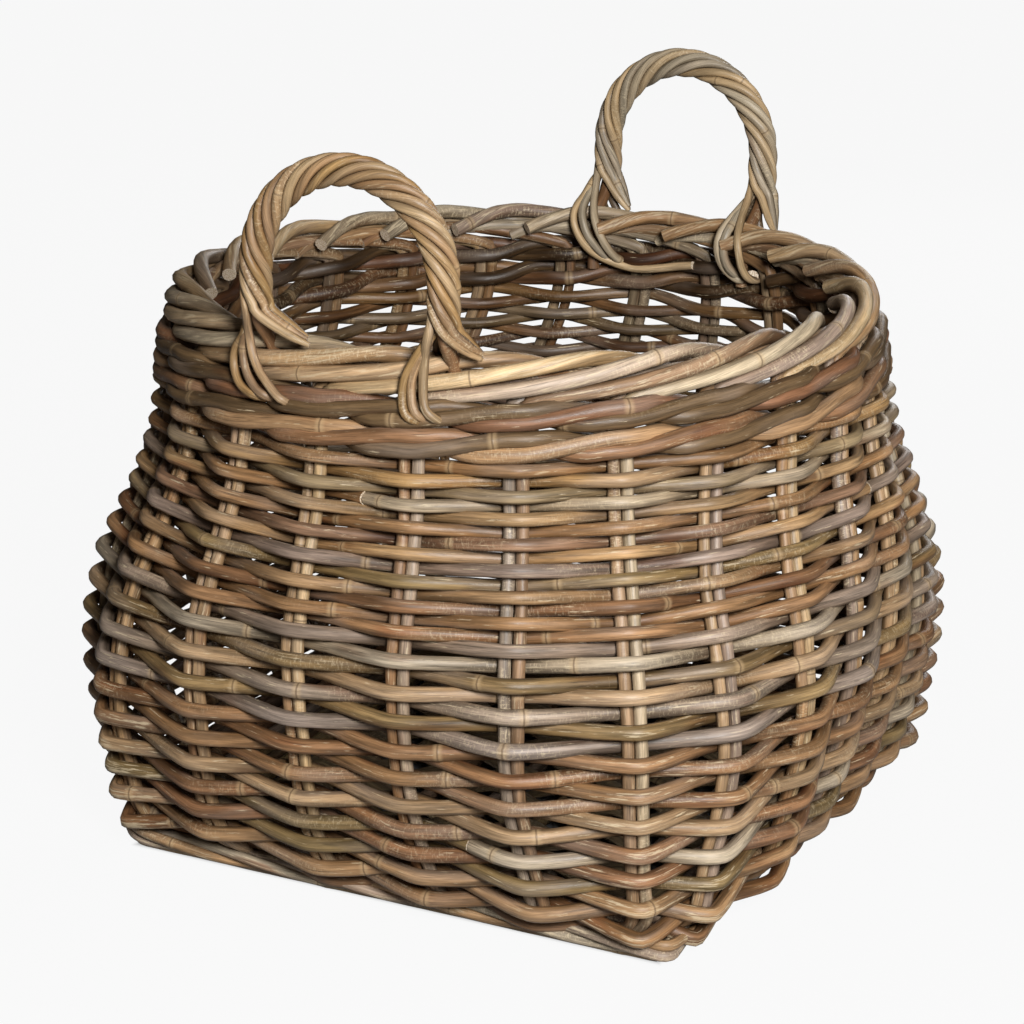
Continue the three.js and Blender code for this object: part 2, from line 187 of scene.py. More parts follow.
class Tone(Enum):
    """The shades that the rods dried to, as they show on screen."""

    BROWN = 0x8C6848
    CHESTNUT = 0x81593E
    TAN = 0xA68560
    HONEY = 0xA98758
    OLIVE = 0x85714C
    UMBER = 0x5A432E
    LILAC = 0x968679
    ASH = 0xA79982
    SAND = 0xB79C76
    CREAM = 0xD3C1A0
    PITH = 0xDCD0BC

    def linear(self) -> np.ndarray:
        """Returns the linear red, green and blue that shaders use."""
        parts = np.array([(self.value >> shift) & 255 for shift in (16, 8, 0)]) / 255
        return np.where(parts <= 0.04045, parts / 12.92, ((parts + 0.055) / 1.055) ** 2.4)

    def paint(self, gain: float = 1.0) -> tuple[float, ...]:
        """Returns the tone as a shader colour, made lighter or darker by a gain."""
        return (*(self.linear() * gain), 1.0)


class Grain(Enum):
    """Layers of noise: waves in a millimetre along and across the rod, finer layers, their strength."""

    STREAK = (0.016, 0.26, 4.0, 0.55)
    FIBRE = (0.06, 2.4, 3.0, 0.6)
    STAIN = (0.011, 0.045, 2.0, 0.55)
    CHIP = (0.045, 0.6, 6.0, 0.66)
    SCRATCH = (0.03, 1.3, 4.0, 0.6)
    CRACK = (0.75, 0.3, 4.0, 0.7)
    ZONE = (0.007, 0.02, 1.0, 0.55)
    PITH = (1.2, 1.6, 4.0, 0.7)


@dataclass(frozen=True)
class Shades:
    """A mix of tones with how often each turns up."""

    weights: tuple[tuple[Tone, float], ...]
    spread: float = 0.09
    gain: float = 1.0
    mixed_in: float = 0.22

    def pick(self, dice: random.Random) -> np.ndarray:
        """Picks the colour of one rod.

        Args:
            dice: The seeded source of chance.

        Returns:
            Its linear colour: one tone with a little of another mixed in.
        """
        tones = [tone for tone, _ in self.weights]
        chosen = dice.choices(tones, [weight for _, weight in self.weights])[0]
        other = dice.choice(tones)
        colour = (1 - self.mixed_in) * chosen.linear() + self.mixed_in * other.linear()
        return colour * self.gain * (1 + dice.uniform(-self.spread, self.spread))


class NodeSheet:
    """Lays out the shader nodes of one material or world."""

    def __init__(self, owner: bpy.types.Material | bpy.types.World) -> None:
        """Starts with no nodes.

        Args:
            owner: The material or world.
        """
        self.owner = owner
        self.owner.use_nodes = True
        self.tree = self.owner.node_tree
        self.tree.nodes.clear()

    def node(self, kind: str, inputs: dict | None = None, **settings: object) -> bpy.types.Node:
        """Adds a node.

        Args:
            kind: The type of node.
            inputs: Socket names or numbers, each with a value or a socket to link.
            **settings: Properties of the node.

        Returns:
            The new node.
        """
        made = self.tree.nodes.new(kind)
        for key, value in settings.items():
            setattr(made, key, value)
        for key, value in (inputs or {}).items():
            if isinstance(value, Socket):
                self.tree.links.new(value, made.inputs[key])
            else:
                made.inputs[key].default_value = value
        return made

    def attribute(self, name: str, output: str = "Fac") -> Socket:
        """Reads a value that the mesh carries."""
        return self.node("ShaderNodeAttribute", attribute_name=name).outputs[output]

    def grain(self, layer: Grain) -> Socket:
        """Adds a layer of noise, stretched along the rod.

        Args:
            layer: The layer.

        Returns:
            The noise, around one half.
        """
        along, across, detail, roughness = layer.value
        place = self.attribute("rod_place", "Vector")
        stretched = self.node("ShaderNodeMapping", {"Vector": place, "Scale": (along, across, across)})
        inputs = {"Vector": stretched.outputs[0], "Scale": 1.0, "Detail": detail, "Roughness": roughness}
        return self.node("ShaderNodeTexNoise", inputs).outputs["Fac"]

    def span(self, value: Socket, low: float, high: float, start: float = 0.0,
             end: float = 1.0) -> Socket:
        """Stretches a value from one span to another and holds it there.

        Args:
            value: The value.
            low: Where the first span begins.
            high: Where the first span ends.
            start: What low becomes.
            end: What high becomes.

        Returns:
            The new value.
        """
        inputs = {"Value": value, "From Min": low, "From Max": high, "To Min": start, "To Max": end}
        return self.node("ShaderNodeMapRange", inputs, interpolation_type="SMOOTHSTEP").outputs["Result"]

    def maths(self, operation: str, first: object, second: object = 0.0) -> Socket:
        """Adds a sum of two values."""
        return self.node("ShaderNodeMath", {0: first, 1: second}, operation=operation).outputs[0]

    def total(self, *parts: tuple[Socket, float]) -> Socket:
        """Adds up values.

        Args:
            *parts: Each value with its weight.

        Returns:
            The total.
        """
        added = 0.0
        for value, weight in parts:
            inputs = {0: value, 1: weight, 2: added}
            added = self.node("ShaderNodeMath", inputs, operation="MULTIPLY_ADD").outputs[0]
        return added

    def blend(self, share: object, first: object, second: object, kind: str = "MIX") -> Socket:
        """Mixes two colours.

        Args:
            share: How much of the second there is.
            first: The first colour.
            second: The second colour.
            kind: The way of mixing.

        Returns:
            The mixed colour.
        """
        inputs = {0: share, 6: first, 7: second}
        return self.node("ShaderNodeMix", inputs, data_type="RGBA", blend_type=kind).outputs[2]

    def shaded(self, colour: Socket, light: Socket) -> Socket:
        """Makes a colour lighter or darker by a value."""
        grey = self.node("ShaderNodeCombineColor", {0: light, 1: light, 2: light}).outputs[0]
        return self.blend(1.0, colour, grey, "MULTIPLY")

    def finish(self, shader: Socket,
               kind: str = "ShaderNodeOutputMaterial") -> bpy.types.Material | bpy.types.World:
        """Sends a shader to the output.

        Args:
            shader: The last shader.
            kind: The type of the output node.

        Returns:
            The material or world.
        """
        self.node(kind, {"Surface": shader})
        return self.owner


@dataclass(frozen=True)
class RattanFinish:
    """Rattan with its skin on: grain, stains, scratches, pale scuffs, joints and scaly cracks."""

    name: str
    streaks: float = 0.4
    fibres: float = 0.24
    stains: float = 0.5
    scuffs: float = 0.6
    scuff_from: float = 0.62
    scuff_span: float = 0.07
    scales: float = 0.25
    scratches: float = 0.45
    rings: float = 0.7
    roughness: Pair = (0.34, 0.58)
    bump: float = 0.35
    bump_metres: float = 0.0007

    def skin(self, sheet: NodeSheet) -> Socket:
        """Colours the skin: the rod's tone with its painted shade, then streaks, grey and ruddy stains,
        fibres and scratches.

        Args:
            sheet: The nodes of the material.

        Returns:
            The colour.
        """
        streaks = sheet.grain(Grain.STREAK)
        streaks = sheet.span(streaks, 0.3, 0.7, 1 - self.streaks, 1 + self.streaks * 0.75)
        fibres = sheet.span(sheet.grain(Grain.FIBRE), 0.3, 0.7, 1 - self.fibres, 1 + self.fibres)
        scratches = sheet.span(sheet.grain(Grain.SCRATCH), 0.58, 0.68, 1.0, 1 - self.scratches)
        stain = sheet.grain(Grain.STAIN)
        # The rod's tone comes with its painted shade already in it.
        colour = sheet.shaded(sheet.attribute("rod_tone_and_painted_shade", "Vector"), streaks)
        faded = sheet.blend(0.55, colour, Tone.LILAC.paint())
        colour = sheet.blend(sheet.span(stain, 0.5, 0.68, 0.0, self.stains), colour, faded)
        ruddy = sheet.blend(1.0, colour, Tone.CHESTNUT.paint(2.3), "MULTIPLY")
        colour = sheet.blend(sheet.span(stain, 0.42, 0.28, 0.0, self.stains), colour, ruddy)
        return sheet.shaded(sheet.shaded(colour, fibres), scratches)

    def material(self) -> bpy.types.Material:
        """Builds the material from the values that each rod carries.

        Returns:
            The finished material.
        """
        sheet = NodeSheet(bpy.data.materials.new(self.name))
        scaly_zone = sheet.span(sheet.grain(Grain.ZONE), 0.54, 0.64, 0.0, self.scales)
        scales = sheet.maths("MULTIPLY", sheet.span(sheet.grain(Grain.CRACK), 0.52, 0.62), scaly_zone)
        rubbed = sheet.total((sheet.grain(Grain.CHIP), 1.0), (sheet.attribute("rod_wear"), 0.2))
        rubbed = sheet.span(rubbed, self.scuff_from, self.scuff_from + self.scuff_span, 0.0, self.scuffs)
        joint = sheet.maths("ABSOLUTE", sheet.attribute("rod_joint"))
        collar = sheet.span(joint, 4.2, 1.2, 0.0, self.rings * 0.55)
        groove = sheet.span(joint, 0.9, 0.3, 0.0, self.rings * 0.8)
        pith = sheet.span(sheet.grain(Grain.PITH), 0.4, 0.6)
        pith = sheet.blend(pith, Tone.PITH.paint(), Tone.TAN.paint(0.8))

        colour = self.skin(sheet)
        layers = (
            (scales, Tone.CREAM.paint()), (rubbed, Tone.CREAM.paint()), (collar, Tone.SAND.paint()),
            (groove, Tone.UMBER.paint(0.7)), (sheet.attribute("rod_cut"), pith),
        )
        for share, paint in layers:
            colour = sheet.blend(share, colour, paint)

        fibre, streak = sheet.grain(Grain.FIBRE), sheet.grain(Grain.STREAK)
        gloss = sheet.total((sheet.span(fibre, 0.3, 0.7, *self.roughness), 1.0), (rubbed, 0.2))
        height = sheet.total((fibre, 0.6), (streak, 0.8), (rubbed, -0.35), (groove, -0.8))
        relief = {"Height": height, "Strength": self.bump, "Distance": self.bump_metres}
        normal = sheet.node("ShaderNodeBump", relief).outputs["Normal"]
        shader = sheet.node("ShaderNodeBsdfPrincipled", {
            "Base Color": colour, "Roughness": gloss, "Normal": normal, "IOR": 1.45,
            "Specular IOR Level": 0.5,
        })
        return sheet.finish(shader.outputs["BSDF"])


@dataclass
class Rod:
    """One rod: the line that it follows and how it is dressed.

    The rows of the path hold the place, the way out of the wall, the wear and the painted shade there.
    The swell says how much thicker the rod is above a height, and that height. The worn side and the
    side darkened by painted shade say from which cosine of the way out they begin, and over how much
    they come in. The inner painted shade is how dark that side is painted, and the warmth makes
    painted shade darken green and blue more than red. The grain is shifted along each rod by up to
    the first number, and across by a share of that.
    """

    name: str
    path: np.ndarray
    radius: float
    colour: np.ndarray
    seed: int
    sides: int = 10
    step: float = 4.0
    rounds: int = 3
    flatten: float = 1.0
    # Painted shade: how dark the side facing into the wall is painted.
    inner_shade: float = 0.55
    joint_pitch: Pair = (150.0, 330.0)
    joint_swell: Pair = (0.07, 3.5)
    joint_margin: float = 100
    unevenness: float = 0.035
    waves: tuple[Pair, ...] = ((0.6, 190.0), (0.4, 67.0), (0.3, 31.0))
    lobes: float = 0.02
    taper: Pair = (1.0, 1.0)
    taper_run: float = 14
    swell: Pair = (1.0, 0.0)
    swell_span: Pair = (-14.0, 4.0)
    # Painted shade darkens green and blue more than red, so it reads warm.
    painted_shade_warmth: Triple = (1.0, 1.15, 1.35)
    worn_side: Pair = (0.1, 0.7)
    # Painted shade: where the darkened side begins and how far it comes in.
    painted_shade_side: Pair = (0.55, 0.85)
    grain_shift: Pair = (9000, 0.37)

    @classmethod
    def drawn(cls, name: str, path: np.ndarray, radius: float, shades: Shades, dice: random.Random,
              **dress: object) -> "Rod":
        """Draws the colour and the seed of a rod by chance.

        Args:
            name: Its name.
            path: The rows of its path.
            radius: Its radius.
            shades: The tones that it may have.
            dice: The seeded source of chance.
            **dress: Any other value of the rod.

        Returns:
            The rod.
        """
        return cls(name, path, radius, shades.pick(dice), dice.randrange(SEEDS), **dress)

    def from_joints(self, run: np.ndarray, dice: random.Random) -> np.ndarray:
        """Places the joints of the cane along the rod.

        Args:
            run: The run to each ring of points.
            dice: The seeded source of chance.

        Returns:
            How far each ring lies past its nearest joint.
        """
        places = [dice.uniform(-self.joint_margin, self.joint_pitch[0])]
        while places[-1] < run[-1] + self.joint_margin:
            places.append(places[-1] + dice.uniform(*self.joint_pitch))
        joints = np.array(places)
        return run - joints[np.abs(run[:, None] - joints[None, :]).argmin(1)]

    def sizes(self, run: np.ndarray, from_joint: np.ndarray, height: np.ndarray,
              dice: random.Random) -> np.ndarray:
        """Works out how thick the rod is: uneven, swollen at joints, tapered at its ends.

        Args:
            run: The run to each ring of points.
            from_joint: How far each lies past its nearest joint.
            height: The height of each.
            dice: The seeded source of chance.

        Returns:
            The radius at each ring.
        """
        uneven = sum(share * np.sin(2 * math.pi * run / length + dice.uniform(0, 2 * math.pi))
                     for share, length in self.waves)
        swollen = self.joint_swell[0] * np.exp(-((from_joint / self.joint_swell[1]) ** 2))
        size = self.radius * (1 + self.unevenness * uneven + swollen)
        ends = [0, self.taper_run, run[-1] - self.taper_run, run[-1]]
        size *= np.interp(run, ends, [self.taper[0], 1, 1, self.taper[1]])
        return size * np.interp(height - self.swell[1], self.swell_span, [1.0, self.swell[0]])

    def build(self, material: bpy.types.Material) -> bpy.types.Object:
        """Skins the rod into a mesh and dresses it.

        Args:
            material: The finish of the rod.

        Returns:
            The new object.
        """
        dice = random.Random(self.seed)
        rows, run = even_steps(cut_corners(self.path, self.rounds), self.step)
        centre, outward, wear, shade = rows[:, :3], rows[:, 3:6], rows[:, 6:7], rows[:, 7:8]
        tangent = unit(np.gradient(centre, axis=0))
        side_a = unit(outward - tangent * (outward * tangent).sum(1, keepdims=True))
        side_b = np.cross(tangent, side_a)
        from_joint = self.from_joints(run, dice)
        size = self.sizes(run, from_joint, centre[:, 2], dice)

        turn = np.linspace(0, 2 * math.pi, self.sides, endpoint=False)
        facing = np.cos(turn)
        size = size[:, None] * (1 + self.lobes * np.sin(3 * turn + dice.uniform(0, 6)))
        across, along = size * facing, size * np.sin(turn)
        points = (centre[:, None, :] + across[..., None] * self.flatten * side_a[:, None, :]
                  + along[..., None] * side_b[:, None, :])
        worn = wear * np.clip((facing - self.worn_side[0]) / self.worn_side[1], 0, 1)
        # Painted shade: the side facing into the wall is painted darker, on top of the path's painted
        # shade.
        painted_shade_share = np.clip((self.painted_shade_side[0] - facing) / self.painted_shade_side[1], 0, 1)
        light = shade * (1 - (1 - self.inner_shade) * painted_shade_share)
        shift = dice.uniform(0, self.grain_shift[0])
        forward = np.broadcast_to(run[:, None] + shift, size.shape)
        spot = np.stack([forward, across + shift * self.grain_shift[1], along], axis=-1)
        values = {
            "rod_place": spot.reshape(-1, 3),
            "rod_joint": np.repeat(from_joint, self.sides),
            "rod_wear": worn.reshape(-1),
            "rod_cut": np.zeros(size.size),
            # The tone is multiplied by the painted shade, which goes on to the material.
            "rod_tone_and_painted_shade": light.reshape(-1, 1) ** np.array(self.painted_shade_warmth) * self.colour,
        }
        return RodMesh(self, points.reshape(-1, 3), values, len(run)).to_object(material)


@dataclass
class RodMesh:
    """The skin of a rod: rings of points joined by faces, with a cut face at each end.

    Its flat map has the skin in strips, one above the other, and the cut faces as discs over them.
    The disc middles are where the first and the last disc lie across it, and how high up the rest
    of the map.
    """

    rod: Rod
    points: np.ndarray
    values: dict[str, np.ndarray]
    rings: int
    strip_margin: float = 0.06
    edge_margin: float = 0.004
    disc_share: float = 0.42
    disc_middles: Triple = (0.2, 0.7, 0.52)

    def close_ends(self) -> None:
        """Adds a cut face at both ends, with points of its own so that its edge stays crisp."""
        sides = self.rod.sides
        for first in (0, (self.rings - 1) * sides):
            rim = slice(first, first + sides)
            loop = self.points[rim]
            self.points = np.vstack([self.points, loop, loop.mean(0, keepdims=True)])
            for key, value in self.values.items():
                ends = np.concatenate([value[rim], value[rim].mean(0, keepdims=True)])
                ends = np.ones_like(ends) if key == "rod_cut" else ends
                self.values[key] = np.concatenate([value, ends])

    def skin(self) -> tuple[np.ndarray, np.ndarray]:
        """Joins the rings and lays the skin out flat.

        Returns:
            The corners of the four-sided faces and their flat map.
        """
        sides = self.rod.sides
        ring = np.arange(self.rings - 1)[:, None]
        side = np.arange(sides)[None, :]
        near, far = ring * sides + side, ring * sides + (side + 1) % sides
        quads = np.stack([near, near + sides, far + sides, far], axis=-1)
        girth = 2 * math.pi * self.rod.radius
        strips = max(1, round(math.sqrt(self.rod.step * self.rings / girth)))
        span = math.ceil((self.rings - 1) / strips)
        start = ring % span / span
        end = start + 1 / span
        usable = 1 - 2 * self.strip_margin
        low, high = ((ring // span + self.strip_margin + usable * (side + step) / sides) / (strips + 1)
                     for step in (0, 1))
        corners = ((start, low), (end, low), (end, high), (start, high))
        flat = np.stack([np.stack(np.broadcast_arrays(*corner), -1) for corner in corners], axis=2)
        flat[..., 0] = self.edge_margin + (1 - 2 * self.edge_margin) * flat[..., 0]
        return quads.reshape(-1, 4), flat.reshape(-1, 2)

    def ends(self, row: float) -> tuple[np.ndarray, np.ndarray]:
        """Fans out the cut faces.

        Args:
            row: How high the skin reaches on the flat map.

        Returns:
            The corners of the three-sided faces and their flat map.
        """
        sides = self.rod.sides
        *middles, height = self.disc_middles
        faces, flat = [], []
        for number, across in enumerate(middles):
            first = self.rings * sides + number * (sides + 1)
            middle = np.array([across, row + (1 - row) * height])
            for place in range(sides):
                pair = (place, place + 1) if number == 0 else (place + 1, place)
                faces.append((first + sides, *(first + step % sides for step in pair)))
                flat.append(middle)
                for step in pair:
                    around = ring_direction(2 * math.pi * step / sides)[:2]
                    flat.append(middle + (1 - row) * self.disc_share * around)
        return np.array(faces), np.array(flat)

    def to_object(self, material: bpy.types.Material) -> bpy.types.Object:
        """Writes the mesh, its flat map and the values that the finish reads.

        Args:
            material: The finish of the rod.

        Returns:
            The new object, at the origin.
        """
        self.close_ends()
        quads, skin_map = self.skin()
        ends, end_map = self.ends(skin_map[:, 1].max())
        mesh = bpy.data.meshes.new(self.rod.name)
        mesh.vertices.add(len(self.points))
        mesh.vertices.foreach_set("co", (self.points * MM).astype(np.float32).ravel())
        corners = np.concatenate([quads.ravel(), ends.ravel()])
        mesh.loops.add(len(corners))
        mesh.loops.foreach_set("vertex_index", corners.astype(np.int32))
        starts = np.concatenate([np.arange(len(quads)) * 4, quads.size + np.arange(len(ends)) * 3])
        mesh.polygons.add(len(starts))
        mesh.polygons.foreach_set("loop_start", starts.astype(np.int32))
        mesh.update(calc_edges=True)
        mesh.polygons.foreach_set("use_smooth", np.arange(len(starts)) < len(quads))
        for key, value in self.values.items():
            kind, channel = ("FLOAT_VECTOR", "vector") if value.ndim == 2 else ("FLOAT", "value")
            layer = mesh.attributes.new(key, kind, "POINT")
            layer.data.foreach_set(channel, value.astype(np.float32).ravel())
        layer = mesh.uv_layers.new(name="OFBake")
        layer.data.foreach_set("uv", np.vstack([skin_map, end_map]).astype(np.float32).ravel())
        mesh.materials.append(material)
        return add_object(self.rod.name, mesh)


class Workshop:
    """Keeps the finishes and sets finished pieces on the basket."""

    def __init__(self, finishes: dict[str, RattanFinish]) -> None:
        """Makes one material for each slot of the record.

        Args:
            finishes: The finish of each material slot.
        """
        self.materials = {slot: finish.material() for slot, finish in finishes.items()}
        self.count = 0

    def place(self, rod: Rod, slot: str, nodes: Sequence[str]) -> None:
        """Builds a rod, sets it on the basket and hides the solids that it stands for.

        Args:
            rod: The rod.
            slot: Its material slot.
            nodes: The solids that it replaces.
        """
        piece = rod.build(self.materials[slot])
        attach(piece, "root")
        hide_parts(*nodes)
        self.count += 1


@dataclass(frozen=True)
class Wall:
    """The form of the wall and where its stakes stand.

    Halves, squareness and leans belong to the heights: half the width, how square the outline is (2
    is a circle), and how far it leans to +X. Stakes stand evenly along each side of the square foot,
    and round the belly and the rim apart from the swings, each a size and the angle of its peak. The
    stakes near the visible corner are shifted by millimetres at the foot and turned by degrees at the
    belly, as the photo shows them.
    """

    heights: tuple[float, ...] = (4, 32, 70, 115, 160, 205, 250, 295, 368)
    halves: tuple[float, ...] = (199, 243, 261, 277.5, 287, 287.5, 279.5, 264.5, 253.4)
    squareness: tuple[float, ...] = (16, 6.8, 4.4, 3.5, 2.85, 2.4, 2.05, 2, 2)
    leans: tuple[float, ...] = (0, 7.5, 3, 0, 0, 0, 2, 2, 0)
    inset: float = 13.8
    stakes: int = 24
    foot_half: float = 204
    foot_pitches: Pair = (75, 63)
    corner_stakes: tuple[int, ...] = (3, 4, 5, 6, 7)
    corner_shifts: tuple[float, ...] = (0, -2, -10, -24, 0)
    corner_turns: tuple[float, ...] = (0, 0, 0.6, -0.6, 0)
    first_angle: float = -127.5
    belly_swing: Pair = (3.3, -72)
    rim_swing: Pair = (4.0, -40)
    belly_from: float = 150
    rim_span: Pair = (230, 350)
    probe_angle: float = 0.02
    probe_height: float = 14
    lowest_probe: float = 2

    def corner(self, index: float, moves: Sequence[float]) -> float:
        """Returns how far a stake near the visible corner is moved."""
        return float(np.interp(index % self.stakes, self.corner_stakes, moves))

    def even_angle(self, index: float) -> float:
        """Returns the angle of a stake that stands evenly round the wall, in degrees."""
        return self.first_angle + 360 / self.stakes * index

    def foot_angle(self, index: float) -> float:
        """Finds where a stake stands round the square foot.

        Args:
            index: The number of the stake.

        Returns:
            Its angle in degrees.
        """
        per_side = self.stakes // 4
        rounds, rest = divmod(index, self.stakes)
        side, place = divmod(rest, per_side)
        offset = (place - (per_side - 1) / 2) * self.foot_pitches[int(side) % 2]
        offset += self.corner(index, self.corner_shifts)
        return 360 * rounds + 90 * (side - 1) + math.degrees(math.atan2(offset, self.foot_half))

    def belly_angle(self, index: float) -> float:
        """Finds where a stake stands round the belly.

        Args:
            index: The number of the stake.

        Returns:
            Its angle in degrees.
        """
        even = self.even_angle(index)
        swing = self.belly_swing[0] * math.cos(2 * math.radians(even - self.belly_swing[1]))
        return even + self.corner(index, self.corner_turns) + swing

    def rim_angle(self, index: float) -> float:
        """Returns the angle of a stake at the rim, in degrees."""
        even = self.even_angle(index)
        return even + self.rim_swing[0] * math.cos(math.radians(even - self.rim_swing[1]))

    def stake_angle(self, index: float, height: float) -> float:
        """Finds where a stake stands at a height.

        Args:
            index: The number of the stake.
            height: The height.

        Returns:
            Its angle in radians.
        """
        to_belly = smoothstep(height, 0, self.belly_from)
        to_rim = smoothstep(height, *self.rim_span)
        low = self.foot_angle(index) * (1 - to_belly) + self.belly_angle(index) * to_belly
        return math.radians(low * (1 - to_rim) + self.rim_angle(index) * to_rim)

    def point(self, angle: float, height: float) -> np.ndarray:
        """Finds a place on the line of the stakes.

        Args:
            angle: Its angle in radians.
            height: Its height.

        Returns:
            The place.
        """
        half, power, lean = (float(np.interp(height, self.heights, values))
                             for values in (self.halves, self.squareness, self.leans))
        spread = abs(math.cos(angle)) ** power + abs(math.sin(angle)) ** power
        radius = (half - self.inset) * spread ** (-1 / power)
        return ring_direction(angle) * radius + np.array([lean, 0.0, height])

    def frame(self, index: float, height: float) -> tuple[np.ndarray, np.ndarray, np.ndarray]:
        """Finds a stake at a height.

        Args:
            index: The number of the stake.
            height: The height.

        Returns:
            Its centre, the direction along the wall and the way out.
        """
        angle = self.stake_angle(index, height)
        left, right = (self.point(angle + sign * self.probe_angle, height) for sign in (1, -1))
        along = unit(left - right)
        levels = (max(height - self.probe_height, self.lowest_probe), height + self.probe_height)
        low, high = (self.point(self.stake_angle(index, level), level) for level in levels)
        return self.point(angle, height), along, unit(np.cross(along, unit(high - low)))


@dataclass(frozen=True)
class Weaving:
    """How far rods pass from the line of the stakes, and how they bend there, in radians.

    Where the wall bends, a rod stands further out, holds on to the stake less and is more worn. Where it
    passes inside a stake it is painted darker, as painted shade.
    """

    wall: Wall
    offset: float = 8.6
    ease: float = 1.15
    stake_half: float = 8.4
    hold: float = 9.0
    tight_hold: float = 2.7
    tight_bend: Pair = (0.3, 0.9)
    worn_bend: Pair = (0.25, 0.9)
    height_scatter: float = 0.8
    stand_scatter: Pair = (-0.3, 0.6)
    # Painted shade: a rod is painted darker where it passes inside a stake.
    hidden_painted_shade: float = 0.5

    def crossing(self, index: int, height: float, outside: bool, dice: random.Random) -> np.ndarray:
        """Lays a rod past one stake.

        Args:
            index: The number of the stake.
            height: The height of the rod there.
            outside: Whether it passes outside the stake.
            dice: The seeded source of chance.

        Returns:
            Two rows of the path, one on each side of the stake.
        """
        height += dice.uniform(-self.height_scatter, self.height_scatter)
        centre, _, out = self.wall.frame(index, height)
        before, after = (self.wall.frame(index + step, height)[0] for step in (-1, 1))
        bend = math.acos(min(1.0, float(unit(centre - before) @ unit(after - centre))))
        stand = self.offset + dice.uniform(*self.stand_scatter)
        if outside:
            stand += self.ease * self.stake_half * math.tan(bend / 2)
        middle = centre + out * (stand if outside else -stand)
        held = self.hold + (self.tight_hold - self.hold) * smoothstep(bend, *self.tight_bend)
        hold = unit(after - before) * held
        wear = smoothstep(bend, *self.worn_bend) if outside else 0.0
        # A pass inside the stake gets painted shade.
        return rows_of([middle - hold, middle + hold], out, wear, 1.0 if outside else self.hidden_painted_shade)


@dataclass
class PlainWeave:
    """Two weavers that chase each other up the wall, over one stake pair and behind the next.

    The heights belong to the rows. Weavers are thinner above the thinning.
    """

    weaving: Weaving
    rows: tuple[int, ...] = (0, 2, 20, 38)
    heights: tuple[float, ...] = (20, 36, 214.2, 353.7)
    last_row: int = 35
    frame_rods: int = 6
    rods: int = 18
    lower_radius: float = 5.3
    upper_radius: float = 4.55
    thinning: Pair = (150, 260)
    shown_joints: float = 0.25
    shown_place: float = 0.55
    joint_gap: float = 0.6
    edge_scatter: float = 5
    radius_scatter: Pair = (0.94, 1.04)
    unevenness: float = 0.05
    seed: int = 700
    shades: Shades = Shades((
        (Tone.BROWN, 6), (Tone.TAN, 5), (Tone.CHESTNUT, 2), (Tone.HONEY, 1.5), (Tone.OLIVE, 2),
        (Tone.UMBER, 1), (Tone.LILAC, 3), (Tone.ASH, 1),
    ))

    def row_height(self, row: float) -> float:
        """Returns the height of a row, counted from the lowest."""
        return float(np.interp(row, self.rows, self.heights))

    def build(self, shop: Workshop) -> None:
        """Weaves both weavers, rod by rod.

        Args:
            shop: The finishes.
        """
        half_round = self.weaving.wall.stakes // 2
        for weaver, letter in enumerate("ab"):
            dice = random.Random(self.seed + weaver)
            crossings = (self.last_row - weaver) * half_round
            passes = [self.crossing(weaver, m, dice) for m in range(crossings + 2)]
            edges = [1]
            for share in range(1, self.rods):
                off = dice.uniform(-self.edge_scatter, self.edge_scatter)
                edges.append(round(crossings * share / self.rods + off))
            edges = [edge + (edge + weaver + 1) % 2 for edge in (*edges, crossings - 1)]
            shown = [dice.random() < self.shown_joints for _ in edges]
            for number, (first, last) in enumerate(zip(edges[:-1], edges[1:], strict=True)):
                start = self.joint(passes, first, shown[number], 1)
                end = self.joint(passes, last, shown[number + 1], -1)
                path = np.vstack([start, *passes[first + 1:last], end])
                height = self.row_height(weaver + (first + last) / 2 / half_round)
                thinner = (self.upper_radius - self.lower_radius) * smoothstep(height, *self.thinning)
                radius = (self.lower_radius + thinner) * dice.uniform(*self.radius_scatter)
                rod = Rod.drawn(f"weaver_{letter}_{number + 1:02d}", path, radius, self.shades, dice,
                                unevenness=self.unevenness)
                nodes = {self.frame_node(letter, m, crossings) for m in (first, last)}
                shop.place(rod, "weaver_rod", sorted(nodes))
            LOG.info("weaver %s: %d rods over %d crossings", letter, self.rods, crossings)

    def crossing(self, weaver: int, m: int, dice: random.Random) -> np.ndarray:
        """Lays a weaver past one stake, counted up the wall."""
        height = self.row_height(weaver + 2 * m / self.weaving.wall.stakes)
        return self.weaving.crossing(m, height, (m + weaver) % 2 == 0, dice)

    def joint(self, passes: Sequence[np.ndarray], m: int, shown: bool, way: int) -> np.ndarray:
        """Lays the end of a rod, butted against the next rod.

        Args:
            passes: The rows at every crossing.
            m: The crossing behind a stake where the two rods meet.
            shown: Whether they meet in the open beside the stake instead.
            way: 1 for the start of a rod and -1 for its end.

        Returns:
            The rows of that end, in the order of the path.
        """
        here = passes[m]
        meeting = here.mean(0, keepdims=True)
        if shown:
            meeting = (1 - self.shown_place) * here[1:] + self.shown_place * passes[m + 1][:1]
        meeting[0, :3] += unit(here[1, :3] - here[0, :3]) * self.joint_gap * way
        if way > 0:
            return meeting if shown else np.vstack([meeting, here[1:]])
        return np.vstack([here if shown else here[:1], meeting])

    def frame_node(self, letter: str, crossing: int, crossings: int) -> str:
        """Finds the solid that holds a crossing.

        Args:
            letter: The letter of the weaver.
            crossing: The crossing, counted up the wall.
            crossings: The number of all crossings.

        Returns:
            The name of the solid.
        """
        foot = self.weaving.wall.stakes
        part = 1 + max(0, crossing - foot - 1) * self.frame_rods // (crossings - foot)
        return f"weaver_{letter}_rod_{min(self.frame_rods, part)}"


